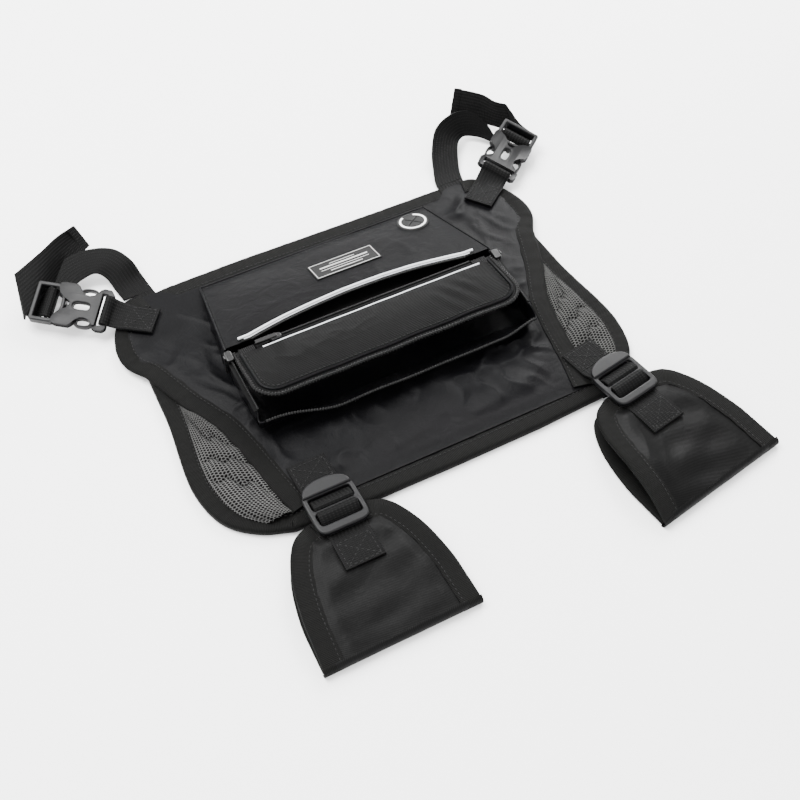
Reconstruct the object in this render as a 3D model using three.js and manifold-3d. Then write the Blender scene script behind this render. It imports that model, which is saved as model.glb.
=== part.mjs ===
// Chest rig: a flat harness bag worn on the chest. It lies face up, waist edge towards +Y, shoulder pads
// towards -Y. Millimetres, +Z up, origin on the flat underside of the back panel.
import * as THREE from 'three';
import { mergeVertices } from 'three/addons/utils/BufferGeometryUtils.js';
import Module from 'manifold-3d';

const wasm = await Module();
wasm.setup();

// ---- Driving dimensions ----
const GAP = 0.3; // between pieces that rest on each other
const RAD = Math.PI / 180;

const FAR_Y = 186; // waist edge
const NEAR_Y = -73; // shoulder edge
const FAR_HALF = 126; // half length of the straight waist edge
const EAR_HALF = 181; // half width across the waist ears
const EAR_Y = 140; // where the ears are widest
const NECK_HALF = 170; // half width where the front binding crosses the back panel
const NECK_Y = 104;
const WING_HALF = 178; // half width across the wings
const WING_Y = -10;
const NEAR_HALF = 140; // half length of the shoulder edge
const FRONT_WAIST_HALF = 139; // half width of the front panel where its diagonal edge bends
const FRONT_WAIST_Y = 28;
const FRONT_NEAR_HALF = 122; // half width of the front panel at the shoulder edge

const PAD_T = 6; // padded back panel
const EDGE_T = 3.8; // its edge, pressed flat by the binding
const TAPE_W = 14; // folded width of the binding tape
const TAPE_T = 0.8;
const RIM = 1.2; // binding outside the edge that it wraps
const FABRIC_T = 1.2;
const MESH_T = 0.8;

const WAIST_WEB = 25; // waist webbing
const SHOULDER_WEB = 30; // shoulder webbing
const WEB_T = 1.4;

const POUCH_FAR_HALF = 101;
const POUCH_HALF = 113.5; // half width of the pouch at the flap's hinge line
const POUCH_FAR_Y = 168;
const HINGE_Y = 76; // flap's hinge line
const HINGE_Z = 31;
const TOP_GAP = 5; // from the hinge line to the edge of the fixed pouch top
const MOUTH_HALF = 92; // pocket zip
const MOUTH_BOW = 11; // how far the open pocket zip bows
const FLAP_HALF = 110;
const FLAP_D = 58; // hinge line to the flap's free edge
const FLAP_R = 18;
const FLAP_REST = 6 * RAD; // how far the flap stands open at rest
const BAND_W = 4; // coil zip round the flap
const BAND_LOW = -2; // the coil zip's underside, from the flap's hinge level
const BAND_TOP = 1.6;
const POCKET_D = 8.8; // depth of the pocket inside the flap
const WALL_T = 1.2; // pouch side walls
const WALL_NEAR_Z = 26;
const LEAN = 50 * RAD; // how far the near wall has fallen outwards
const ZIP_T = 2;
const SLIDER = { l: 9, w: 5.5, h: 3 };
const PULL = { l: 17, w: 3.6, t: 1 };

const PATCH = { x: 9, y: 130, w: 57, d: 22, t: 0.6 };
const PORT = { x: 82, y: 150, r: 13.5, neck: 9.7, ring: 10.4 };

const TAB = { x: 145, y: 151, length: 38, turn: 37 * RAD, z: 10.2 };
const BUCKLE = { half: 17, thick: 10, z: 13, roll: 16 * RAD, pitch: -3 * RAD, female: 34, male: 26 };

const PADS = { left: { x: -98, turn: 0 }, right: { x: 135, turn: 10 * RAD } };
const LOCK_HINGE_Y = -46; // where the shoulder webbing leaves its stitching
const LOCK = { far: 10, near: 47, half: 19.5, t: 4.4, z: 17, rail: 3.7, bar: 4, nearBar: 7, farBar: 6 };
const PAD = { neck: 30, fold: 129, neckHalf: 21, foldHalf: 58, t: 3.6, lowT: 3.4, rise: 5 * RAD };
const STRAP_FOOT = { left: -146, right: 141 }; // where the waist webbing leaves the bag

const Z_FRONT = PAD_T + GAP; // underside of the front panel
const Z_ON_FRONT = Z_FRONT + FABRIC_T + GAP; // underside of what lies on it
const Z_POUCH = Z_ON_FRONT + 0.8; // low edge of the pouch top

// ---- Finishes ----
const finish = (color, roughness, metalness = 0) => new THREE.MeshStandardMaterial({ color, roughness, metalness });
const NYLON = finish('#2a2a2c', 0.75);
const TAPE = finish('#26251f', 0.85);
const MESH = finish('#5a5a5a', 0.9);
const WEBBING = finish('#232323', 0.8);
const PLASTIC = finish('#404040', 0.45);
const ZIP = finish('#1d1d1d', 0.5);
const PIPING = finish('#b8b8b8', 0.35);
const RUBBER = finish('#2c2c2c', 0.7);
const METAL = finish('#3a3a3a', 0.35, 0.8);
const WHITE = finish('#e8e8e8', 0.4);

// ---- Small builders ----
const vest = new THREE.Group();

function piece(name, geometry, material, parent = vest) {
  const mesh = new THREE.Mesh(geometry, material.clone());
  mesh.name = name;
  parent.add(mesh);
  return mesh;
}

function frame(parent, x, y, z, roll = 0, pitch = 0, yaw = 0) {
  const group = new THREE.Group();
  group.position.set(x, y, z);
  group.rotation.set(roll, pitch, yaw, 'ZYX');
  parent.add(group);
  return group;
}

const mirror = (points) => points.map(([x, y]) => [-x, y]);
const shift = (points, dx, dy) => points.map(([x, y]) => [x + dx, y + dy]);

// The right half of an outline, from +Y to -Y, closed with its mirror image.
const symmetric = (half) => [...half, ...mirror(half).reverse()];

const area = (outline) => outline.reduce((sum, [x, y], i) => {
  const [nextX, nextY] = outline[(i + 1) % outline.length];
  return sum + (x * nextY - nextX * y) / 2;
}, 0);

// The outline's points, going round anticlockwise for turn 1 and clockwise for turn -1.
const vectors = (outline, turn) => {
  const points = outline.map(([x, y]) => new THREE.Vector2(x, y));
  return area(outline) * turn > 0 ? points : points.reverse();
};

// A flat piece of the given outline, from z0 up to z1.
function plate(outline, z0, z1, holes = []) {
  const shape = new THREE.Shape(vectors(outline, 1));
  for (const hole of holes) shape.holes.push(new THREE.Path(vectors(hole, -1)));
  return new THREE.ExtrudeGeometry(shape, { depth: z1 - z0, bevelEnabled: false }).translate(0, 0, z0);
}

const rect = (x0, x1, y0, y1) => [[x0, y0], [x1, y0], [x1, y1], [x0, y1]];
const box = (x0, x1, y0, y1, z0, z1) => plate(rect(x0, x1, y0, y1), z0, z1);

function rounded(x0, x1, y0, y1, r, steps = 3) {
  const corner = (cx, cy, from) => Array.from({ length: steps + 1 }, (_, i) => {
    const a = (from + (90 * i) / steps) * RAD;
    return [cx + r * Math.cos(a), cy + r * Math.sin(a)];
  });
  return [
    ...corner(x1 - r, y1 - r, 0), ...corner(x0 + r, y1 - r, 90),
    ...corner(x0 + r, y0 + r, 180), ...corner(x1 - r, y0 + r, 270),
  ];
}

const circle = (cx, cy, r, steps = 20) => Array.from({ length: steps }, (_, i) => {
  const a = (i * 2 * Math.PI) / steps;
  return [cx + r * Math.cos(a), cy + r * Math.sin(a)];
});

// A smooth open line through the points.
function smooth(points, steps) {
  const curve = new THREE.CatmullRomCurve3(points.map(([x, y]) => new THREE.Vector3(x, y, 0)), false, 'centripetal');
  return curve.getSpacedPoints(steps).map((p) => [p.x, p.y]);
}

// A closed outline moved inwards by d, along the mean of the two edge normals at each corner.
function inset(outline, d) {
  const side = Math.sign(area(outline));
  const normal = (a, b) => {
    const length = Math.hypot(b[0] - a[0], b[1] - a[1]);
    return [(-side * (b[1] - a[1])) / length, (side * (b[0] - a[0])) / length];
  };
  return outline.map((p, i) => {
    const before = normal(outline.at(i - 1), p);
    const after = normal(p, outline[(i + 1) % outline.length]);
    const k = d / (1 + before[0] * after[0] + before[1] * after[1]);
    return [p[0] + k * (before[0] + after[0]), p[1] + k * (before[1] + after[1])];
  });
}

function solid(geometry) {
  const bare = geometry.clone();
  bare.deleteAttribute('normal');
  bare.deleteAttribute('uv');
  const merged = mergeVertices(bare, 1e-4);
  const vertProperties = new Float32Array(merged.attributes.position.array);
  return new wasm.Manifold(new wasm.Mesh({ numProp: 3, vertProperties, triVerts: new Uint32Array(merged.index.array) }));
}

function surface(manifold) {
  const { vertProperties, triVerts } = manifold.getMesh();
  const geometry = new THREE.BufferGeometry();
  geometry.setAttribute('position', new THREE.BufferAttribute(vertProperties, 3));
  geometry.setIndex(new THREE.BufferAttribute(triVerts, 1));
  geometry.computeVertexNormals();
  return geometry;
}

const cut = (base, ...tools) => surface(tools.reduce((left, tool) => left.subtract(solid(tool)), solid(base)));
const join = (base, ...more) => surface(more.reduce((sum, next) => sum.add(solid(next)), solid(base)));
const common = (base, tool) => surface(solid(base).intersect(solid(tool)));

// A band of webbing or cloth: each station is a centre, the direction of its width, and its width.
function band(stations, thickness) {
  const at = stations.map(({ p }) => new THREE.Vector3(...p));
  const positions = [];
  const corners = [];
  stations.forEach(({ w, width }, i) => {
    const ahead = at[Math.min(i + 1, at.length - 1)].clone().sub(at[Math.max(i - 1, 0)]).normalize();
    const across = new THREE.Vector3(...w).addScaledVector(ahead, -new THREE.Vector3(...w).dot(ahead)).normalize();
    const up = new THREE.Vector3().crossVectors(ahead, across).multiplyScalar(thickness / 2);
    across.multiplyScalar(width / 2);
    const ring = [[1, 1], [-1, 1], [-1, -1], [1, -1]];
    corners.push(ring.map(([a, u]) => at[i].clone().addScaledVector(across, a).addScaledVector(up, u)));
  });
  const quad = (a, b, c, d) => positions.push(...[a, b, c, a, c, d].flatMap((v) => v.toArray()));
  for (let i = 0; i + 1 < corners.length; i += 1) {
    for (let k = 0; k < 4; k += 1) {
      const n = (k + 1) % 4;
      quad(corners[i][k], corners[i][n], corners[i + 1][n], corners[i + 1][k]);
    }
  }
  quad(...[...corners[0]].reverse());
  quad(...corners.at(-1));
  const geometry = new THREE.BufferGeometry();
  geometry.setAttribute('position', new THREE.Float32BufferAttribute(positions, 3));
  if (solid(geometry).volume() < 0) throw new Error('band is inside out');
  return geometry;
}

// A strip of even width between a line and the same line moved along +Y.
const strip = (line, y0, y1, z0, z1) => plate([...shift(line, 0, y0), ...shift(line, 0, y1).reverse()], z0, z1);

// A round cord along a flat line.
function cord(line, z, radius) {
  const path = new THREE.CatmullRomCurve3(line.map(([x, y]) => new THREE.Vector3(x, y, z)));
  const section = new THREE.Shape(circle(0, 0, radius, 6).map(([x, y]) => new THREE.Vector2(x, y)));
  return new THREE.ExtrudeGeometry(section, { steps: line.length - 1, extrudePath: path, bevelEnabled: false });
}

// ---- Outlines of the panels ----
const backHalf = [
  [FAR_HALF, FAR_Y],
  ...smooth([
    [FAR_HALF + 18, FAR_Y - 4], [NECK_HALF - 6, EAR_Y + 18], [NECK_HALF, NECK_Y], [WING_HALF - 6, 58],
    [WING_HALF, WING_Y], [WING_HALF - 9, WING_Y - 33], [NEAR_HALF + 10, NEAR_Y + 12], [NEAR_HALF - 12, NEAR_Y + 3],
  ], 22),
  [NEAR_HALF / 2, NEAR_Y],
];
const back = symmetric(backHalf);

const frontFar = FAR_Y - TAPE_W - GAP;
const frontNear = NEAR_Y + TAPE_W + GAP;
const earLine = smooth([
  [FAR_HALF + 4, FAR_Y - 3], [FAR_HALF + 30, FAR_Y - 6], [EAR_HALF - 8, EAR_Y + 22], [EAR_HALF, EAR_Y],
  [EAR_HALF - 1, EAR_Y - 18], [NECK_HALF, NECK_Y],
], 12);
const diagonal = smooth([
  [NECK_HALF, NECK_Y], [FRONT_WAIST_HALF + 17, 66], [FRONT_WAIST_HALF, FRONT_WAIST_Y],
  [FRONT_NEAR_HALF + 5, -36], [FRONT_NEAR_HALF, frontNear],
], 10).slice(1);
const frontHalf = [[FAR_HALF, frontFar], ...earLine, ...diagonal];
const front = symmetric(frontHalf);

// ---- Waist webbing that runs under the bag, in a groove of the padding ----
const underPath = (side) => {
  const pad = PADS[side];
  const near = NEAR_Y + 3;
  const startX = pad.x + (LOCK_HINGE_Y - near) * Math.tan(pad.turn);
  return [[startX, near], [STRAP_FOOT[side], FAR_Y + 6]];
};
const flatBand = (line, z, width, thick) => band(line.map(([x, y]) => ({ p: [x, y, z], w: [1, 0, 0], width })), thick);
const grooves = Object.keys(PADS).map((side) => {
  const [[x0, y0], [x1, y1]] = underPath(side);
  const lean = (x1 - x0) / (y1 - y0);
  const line = [[x0 - 10 * lean, y0 - 10], [x1 + 10 * lean, y1 + 10]];
  return flatBand(line, 0, WAIST_WEB + 2, 2 * (WEB_T + GAP));
});
for (const side of Object.keys(PADS)) {
  piece(`under_strap_${side}`, flatBand(underPath(side), WEB_T / 2, WAIST_WEB, WEB_T), WEBBING);
}

// ---- Panels ----
const edgeLow = (PAD_T - EDGE_T) / 2;
const padding = join(
  plate(inset(back, TAPE_W + 2 * GAP), 0, PAD_T),
  plate(inset(back, RIM + GAP), edgeLow, edgeLow + EDGE_T),
);
piece('back_panel', cut(padding, ...grooves), NYLON);

const tapeHole = [inset(back, RIM)];
const flangeHole = [inset(back, TAPE_W)];
const channel = join(
  plate(back, TAPE_T - 0.05, PAD_T - TAPE_T + 0.05, tapeHole),
  plate(back, 0, TAPE_T, flangeHole),
  plate(back, PAD_T - TAPE_T, PAD_T, flangeHole),
);
piece('outer_binding', cut(channel, ...grooves), TAPE);

piece('front_panel', plate(front, Z_FRONT, Z_FRONT + FABRIC_T), NYLON);

// The front panel's own binding: a cap along the ear and the diagonal edge, on each side.
const edgeLine = [...earLine, ...diagonal];
const moved = inset([...edgeLine, [0, frontNear], [0, FAR_Y - 3]], TAPE_W).slice(0, edgeLine.length);
const outside = inset([...edgeLine, [0, frontNear], [0, FAR_Y - 3]], -RIM - GAP).slice(0, edgeLine.length);
const beside = inset([...edgeLine, [0, frontNear], [0, FAR_Y - 3]], -GAP).slice(0, edgeLine.length);
const level = (line) => [[line[0][0], earLine[0][1]], ...line.slice(1, -1), [line.at(-1)[0], frontNear]];
const capTop = [...level(outside), ...level(moved).reverse()];
const capSide = [...level(outside), ...level(beside).reverse()];
const cap = join(plate(capTop, Z_ON_FRONT, Z_ON_FRONT + TAPE_T), plate(capSide, Z_FRONT, Z_ON_FRONT + 0.1));
const wing = cut(
  common(plate(inset(back, TAPE_W + GAP), Z_FRONT, Z_FRONT + MESH_T), box(FRONT_NEAR_HALF, 200, -200, NECK_Y - 12, 0, 20)),
  plate([...level(inset([...edgeLine, [0, frontNear], [0, FAR_Y - 3]], -RIM - 2 * GAP).slice(0, edgeLine.length)),
    [0, frontNear - 20], [0, FAR_Y]], 0, 20),
  box(-200, 200, -200, frontNear, 0, 20),
);
const flipX = (geometry) => {
  const turned = geometry.clone().scale(-1, 1, 1);
  const index = turned.index.array;
  for (let i = 0; i < index.length; i += 3) [index[i], index[i + 1]] = [index[i + 1], index[i]];
  turned.computeVertexNormals();
  return turned;
};
piece('front_binding_right', cap, TAPE);
piece('front_binding_left', flipX(cap), TAPE);
piece('mesh_wing_right', wing, MESH);
piece('mesh_wing_left', flipX(wing), MESH);

// ---- Pouch: sloping fixed top, side walls, near wall that folds outwards ----
const topNearY = HINGE_Y + TOP_GAP;
const topRun = POUCH_FAR_Y - topNearY;
const slope = Math.atan2(HINGE_Z - 0.4 - Z_POUCH, topRun);
const topLength = topRun / Math.cos(slope);
const onTop = (y) => -(POUCH_FAR_Y - y) / Math.cos(slope); // a place on the top, for a plan distance
const underTop = (y) => Z_POUCH + (POUCH_FAR_Y - y) * Math.tan(slope);
const top = frame(vest, 0, POUCH_FAR_Y, Z_POUCH, -slope);

const bow = (x) => MOUTH_BOW * (1 - (x / MOUTH_HALF) ** 2);
const mouthLine = Array.from({ length: 17 }, (_, i) => {
  const x = -MOUTH_HALF + (i * MOUTH_HALF) / 8;
  return [x, -topLength + bow(x)];
});
const topOutline = [
  [-POUCH_FAR_HALF, 0], [-POUCH_HALF, -topLength], ...mouthLine, [POUCH_HALF, -topLength], [POUCH_FAR_HALF, 0],
];
const topThick = 1.4;
const portHole = circle(PORT.x, onTop(PORT.y), PORT.neck + GAP);
piece('pouch_top', plate(topOutline, 0, topThick, [portHole]), NYLON, top);

const LIP_W = 5;
const lipZ = topThick + GAP;
piece('pocket_lip_upper', strip(mouthLine, 1, 1 + LIP_W, lipZ, lipZ + TAPE_T), ZIP, top);
const PIPE_R = 1.1;
const pipeUpper = cord(shift(mouthLine, 0, 1 + LIP_W / 2), lipZ + TAPE_T + GAP + PIPE_R, PIPE_R);
piece('pocket_piping_upper', pipeUpper, PIPING, top);

// The pocket's back under the mouth: a shelf with an upstand sewn to the underside of the top.
const shelf = { near: 1, far: 26, low: -9 };
piece('pocket_lining', join(
  box(-MOUTH_HALF, MOUTH_HALF, -topLength + shelf.near, -topLength + shelf.far, shelf.low, shelf.low + TAPE_T),
  box(-MOUTH_HALF, MOUTH_HALF, -topLength + shelf.far - TAPE_T, -topLength + shelf.far, shelf.low, -GAP),
), NYLON, top);

piece('label_patch', plate(
  rounded(PATCH.x - PATCH.w / 2, PATCH.x + PATCH.w / 2, onTop(PATCH.y) - PATCH.d / 2, onTop(PATCH.y) + PATCH.d / 2, 1.5),
  lipZ, lipZ + PATCH.t,
), RUBBER, top);

const portProfile = [[0, -1], [PORT.neck, -1], [PORT.neck, lipZ], [PORT.r, lipZ], [PORT.r - 0.8, lipZ + 1.4], [0, lipZ + 1.4]];
const port = new THREE.LatheGeometry(portProfile.map(([r, z]) => new THREE.Vector2(r, z)), 24);
port.rotateX(Math.PI / 2).translate(PORT.x, onTop(PORT.y), 0);
piece('cable_port', port, RUBBER, top);
const ringArc = Array.from({ length: 19 }, (_, i) => {
  const a = (120 + i * 17) * RAD;
  return [Math.cos(a), Math.sin(a)];
});
const ringOutline = [
  ...ringArc.map(([c, s]) => [PORT.x + (PORT.ring + 0.8) * c, onTop(PORT.y) + (PORT.ring + 0.8) * s]),
  ...ringArc.map(([c, s]) => [PORT.x + (PORT.ring - 0.8) * c, onTop(PORT.y) + (PORT.ring - 0.8) * s]).reverse(),
];
piece('cable_port_ring', plate(ringOutline, lipZ + 1.4 + GAP, lipZ + 1.4 + GAP + 0.6), WHITE, top);

const wallBase = Z_ON_FRONT;
const nearWallY = HINGE_Y - FLAP_D; // under the flap's free edge
const wallAt = (y) => {
  const share = Math.min(1, (POUCH_FAR_Y - y) / (POUCH_FAR_Y - topNearY));
  return POUCH_FAR_HALF + (POUCH_HALF + 0.6 - POUCH_FAR_HALF) * share;
};
const wallTop = (y) => (y >= topNearY
  ? underTop(y) - GAP - 0.3
  : WALL_NEAR_Z + ((y - nearWallY) / (topNearY - nearWallY)) * (underTop(topNearY) - GAP - 0.3 - WALL_NEAR_Z));
const wallY = [POUCH_FAR_Y - 14, 130, 105, topNearY, 50, nearWallY + 2];
const ZIP_FAR_Y = topNearY - 4;
const ZIP_NEAR_Y = nearWallY + 3;
const zipZ = (y) => wallTop(y) + GAP + 0.2 + ZIP_T / 2;
const zipSlope = Math.atan2(zipZ(ZIP_FAR_Y) - zipZ(ZIP_NEAR_Y), ZIP_FAR_Y - ZIP_NEAR_Y);
for (const [side, s] of [['left', -1], ['right', 1]]) {
  const stations = wallY.map((y) => ({
    p: [s * wallAt(y), y, (wallBase + wallTop(y)) / 2], w: [0, 0, 1], width: wallTop(y) - wallBase,
  }));
  piece(`pouch_wall_${side}`, band(stations, WALL_T), NYLON);
  const zipX = s * (wallAt(nearWallY) - 0.6);
  const zipStations = [ZIP_FAR_Y, ZIP_NEAR_Y].map((y) => ({ p: [zipX, y, zipZ(y)], w: [1, 0, 0], width: 5.8 }));
  piece(`main_zip_${side}`, band(zipStations, ZIP_T), ZIP);
  // Slider parked at the far end of the side run, its pull hanging down outside the wall.
  const ride = frame(vest, zipX + s * 0.6, ZIP_FAR_Y - 6, zipZ(ZIP_FAR_Y - 6) + ZIP_T / 2 + GAP, zipSlope);
  const body = rounded(-SLIDER.w / 2, SLIDER.w / 2, -SLIDER.l / 2, SLIDER.l / 2, 1.2, 2);
  piece(`main_slider_${side}`, plate(body, 0, SLIDER.h), METAL, ride);
  const hang = s * (SLIDER.w / 2 + GAP + PULL.t / 2);
  const pull = box(hang - PULL.t / 2, hang + PULL.t / 2, -PULL.w / 2, PULL.w / 2, SLIDER.h - 1 - PULL.l, SLIDER.h);
  piece(`main_pull_${side}`, pull, METAL, ride);
}

const nearWall = frame(vest, 0, nearWallY, wallBase + 0.8, LEAN);
const nearHeight = HINGE_Z + BAND_LOW - 0.4 - wallBase - 0.8;
const nearHalf = POUCH_HALF - 1;
piece('pouch_wall_near', box(-nearHalf, nearHalf, -WALL_T / 2, WALL_T / 2, 0.3, nearHeight - ZIP_T - GAP), NYLON, nearWall);
piece('main_zip_near', box(-nearHalf, nearHalf, -1.6, 1.6, nearHeight - ZIP_T, nearHeight), ZIP, nearWall);

// ---- Flap with its own zip pocket, hinged on the line through the ends of the main zip ----
const flap = frame(vest, 0, HINGE_Y, HINGE_Z, -FLAP_REST);
function flapLine(d, far) {
  const r = FLAP_R - d;
  const arc = (cx, from) => Array.from({ length: 6 }, (_, i) => {
    const a = (from - 18 * i) * RAD;
    return [cx + r * Math.cos(a), -FLAP_D + FLAP_R + r * Math.sin(a)];
  });
  const c = FLAP_HALF - FLAP_R;
  return [[FLAP_HALF - d, far], ...arc(c, 0), ...arc(-c, -90), [-FLAP_HALF + d, far]];
}
const bandFar = -4;
const bandOutline = [...flapLine(0, bandFar), ...flapLine(BAND_W, bandFar).reverse()];
piece('flap_zip', plate(bandOutline, BAND_LOW, BAND_TOP), ZIP, flap);
const lipNear = -6.7;
const panelTab = FLAP_HALF - BAND_W - GAP;
const flapOutline = [
  [panelTab, -1], ...flapLine(BAND_W + GAP, bandFar), [-panelTab, -1], [-MOUTH_HALF - 1, -1],
  [-MOUTH_HALF - 1, lipNear - GAP], [MOUTH_HALF + 1, lipNear - GAP], [MOUTH_HALF + 1, -1],
];
piece('flap_panel', plate(flapOutline, 0, FABRIC_T), NYLON, flap);
piece('pocket_lip_lower', box(-MOUTH_HALF, MOUTH_HALF, lipNear, -1.5, 0, FABRIC_T + 0.2), ZIP, flap);
const lowerLine = Array.from({ length: 9 }, (_, i) => [-MOUTH_HALF + (i * MOUTH_HALF) / 4, lipNear - GAP - 1.4]);
piece('pocket_piping_lower', cord(lowerLine, FABRIC_T + GAP + 1, 1), PIPING, flap);
const trayHalf = FLAP_HALF - FLAP_R + 6;
const trayNear = -FLAP_D + 8;
piece('flap_lining', cut(
  box(-trayHalf, trayHalf, trayNear, -2, -POCKET_D, -GAP),
  box(-trayHalf + 1, trayHalf - 1, trayNear + 1, 2, -POCKET_D + TAPE_T, 2),
), NYLON, flap);
const POCKET_SLIDER_X = -76;
const pocketRide = frame(flap, POCKET_SLIDER_X, -4.1, FABRIC_T + 0.2 + GAP);
piece('pocket_slider', plate(rounded(-SLIDER.l / 2, SLIDER.l / 2, -2.4, 2.4, 1.2, 2), 0, SLIDER.h), METAL, pocketRide);
const pocketPull = box(-PULL.l + 1, 1, -PULL.w / 2, PULL.w / 2, SLIDER.h + GAP, SLIDER.h + GAP + PULL.t);
piece('pocket_pull', pocketPull, METAL, pocketRide);

// ---- Waist tabs, buckles and webbing ----
// Side-release buckle along +X: socket from 0 to BUCKLE.female, plug with its slide frame beyond it.
const SOCKET = BUCKLE.female;
const CAVITY_Z = 2.9;
const ARM_Y = 12.3;
function socket() {
  const half = [
    [0, 15.5], [1.5, BUCKLE.half], [8, BUCKLE.half], [10, 15], [13, 9.8], [18, 8.6], [22, 11], [25, 15.8],
    [27, BUCKLE.half], [SOCKET - 1, BUCKLE.half], [SOCKET, BUCKLE.half - 1],
  ];
  const outline = [...half, ...half.map(([x, y]) => [x, -y]).reverse()];
  const h = BUCKLE.thick / 2;
  return cut(
    plate(outline, -h, h, [rounded(3, 7, -WAIST_WEB / 2 - 0.8, WAIST_WEB / 2 + 0.8, 1.2, 2), rounded(13, 25, -2, 2, 1.9, 3)]),
    box(20, SOCKET + 1, -ARM_Y - 2.3, ARM_Y + 2.3, -CAVITY_Z, CAVITY_Z),
    box(8.6, 16, 7, 15.6, -CAVITY_Z, CAVITY_Z),
    box(8.6, 16, -15.6, -7, -CAVITY_Z, CAVITY_Z),
  );
}
const plugStart = SOCKET + 0.4;
const plugEnd = SOCKET + BUCKLE.male;
function plug() {
  const h = 3.6;
  const window = rounded(plugStart + 7, plugEnd - 5, -WAIST_WEB / 2 - 0.8, WAIST_WEB / 2 + 0.8, 1.5, 2);
  const barAt = plugStart + 13;
  return join(
    plate(rounded(plugStart, plugEnd, -BUCKLE.half, BUCKLE.half, 2.5, 2), -h, h, [window]),
    box(barAt - 1.3, barAt + 1.3, -WAIST_WEB / 2 - 1.5, WAIST_WEB / 2 + 1.5, -1.3, 1.3),
    box(SOCKET - 8, plugStart + 1, -4, 4, -2.4, 2.4),
  );
}
function arm(s) {
  const outline = [
    [SOCKET - 0.2, ARM_Y - 1.7], [22, ARM_Y - 1.6], [18, ARM_Y + 0.4], [12, ARM_Y - 0.6], [9.6, ARM_Y - 0.4],
    [9.6, ARM_Y + 1.2], [13, ARM_Y + 2.6], [18, ARM_Y + 4.3], [21.5, ARM_Y + 4.3], [21.7, ARM_Y + 1.9],
    [SOCKET - 0.2, ARM_Y + 1.7],
  ];
  return plate(outline.map(([x, y]) => [x, s * y]), -2.6, 2.6);
}

// Webbing from the waist edge up and over to the plug's bar, and the free tail past the bar.
const waistWeb = {
  left: {
    loop: [
      { p: [-149, 207, 4], w: [-0.97, -0.2, -0.1] },
      { p: [-152, 217, 11], w: [-0.95, -0.2, -0.25] },
      { p: [-160, 227, 15], w: [-0.8, -0.55, -0.25] },
      { p: [-176, 232, 14], w: [-0.35, -0.9, -0.3] },
      { p: [-194, 228, 12], w: [0.15, -0.95, -0.3] },
      { p: [-205, 217, 8], w: [0.5, -0.8, -0.25] },
    ],
    tail: [
      { p: [-231, 224.6, 21], w: [0.45, -0.75, -0.48] },
      { p: [-206, 241, 26], w: [0.45, -0.75, -0.48] },
      { p: [-168, 260, 27], w: [0.45, -0.75, -0.48] },
    ],
  },
  right: {
    loop: [
      { p: [143, 208, 3], w: [1, 0, 0] },
      { p: [149, 225, 9], w: [0.97, -0.1, -0.1] },
      { p: [160, 238, 14], w: [0.75, -0.4, -0.5] },
      { p: [176, 242, 16], w: [0.35, -0.45, -0.8] },
      { p: [192, 235, 15], w: [0.1, -0.6, -0.75] },
      { p: [202.5, 218.5, 8], w: [0.4, -0.85, -0.3] },
    ],
    tail: [
      { p: [219.7, 229.7, 20], w: [-0.5, -0.34, -0.8] },
      { p: [208, 244, 22], w: [-0.5, -0.34, -0.8] },
      { p: [190, 268, 26], w: [-0.4, -0.34, -0.85] },
    ],
  },
};

for (const [side, s] of [['left', -1], ['right', 1]]) {
  const yaw = s > 0 ? TAB.turn : Math.PI - TAB.turn;
  const at = (d, z) => [s * TAB.x + d * Math.cos(yaw), TAB.y + d * Math.sin(yaw), z];
  const flat = [-s * Math.sin(TAB.turn), Math.cos(TAB.turn), 0];
  const tipped = [flat[0], flat[1], Math.tan(BUCKLE.roll)];
  const tab = [
    { p: at(0, TAB.z), w: flat, width: WAIST_WEB }, { p: at(22, TAB.z), w: flat, width: WAIST_WEB },
    { p: at(30, TAB.z + 1.2), w: [flat[0], flat[1], 0.12], width: WAIST_WEB },
    { p: at(TAB.length - 1, BUCKLE.z), w: tipped, width: WAIST_WEB },
  ];
  piece(`waist_tab_${side}`, band(tab, 2 * WEB_T - 0.2), WEBBING);
  const buckle = frame(vest, ...at(TAB.length, BUCKLE.z), s * BUCKLE.roll, BUCKLE.pitch, yaw);
  piece(`buckle_socket_${side}`, socket(), PLASTIC, buckle);
  piece(`buckle_plug_${side}`, plug(), PLASTIC, buckle);
  piece(`buckle_arm_far_${side}`, arm(s), PLASTIC, buckle);
  piece(`buckle_arm_near_${side}`, arm(-s), PLASTIC, buckle);
  const stations = (list) => list.map(({ p, w }) => ({ p, w, width: WAIST_WEB }));
  const [start, foot] = underPath(side).map(([x, y]) => new THREE.Vector3(x, y, WEB_T / 2));
  const along = foot.clone().sub(start).normalize();
  const across = [s * along.y, -s * along.x, 0];
  const leave = [GAP, 7].map((d) => ({ p: foot.clone().addScaledVector(along, d).toArray(), w: across }));
  leave[1].p[2] += 0.6;
  piece(`waist_strap_${side}`, band(stations([...leave, ...waistWeb[side].loop]), WEB_T), WEBBING);
  piece(`waist_tail_${side}`, band(stations(waistWeb[side].tail), WEB_T), WEBBING);
}

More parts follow.
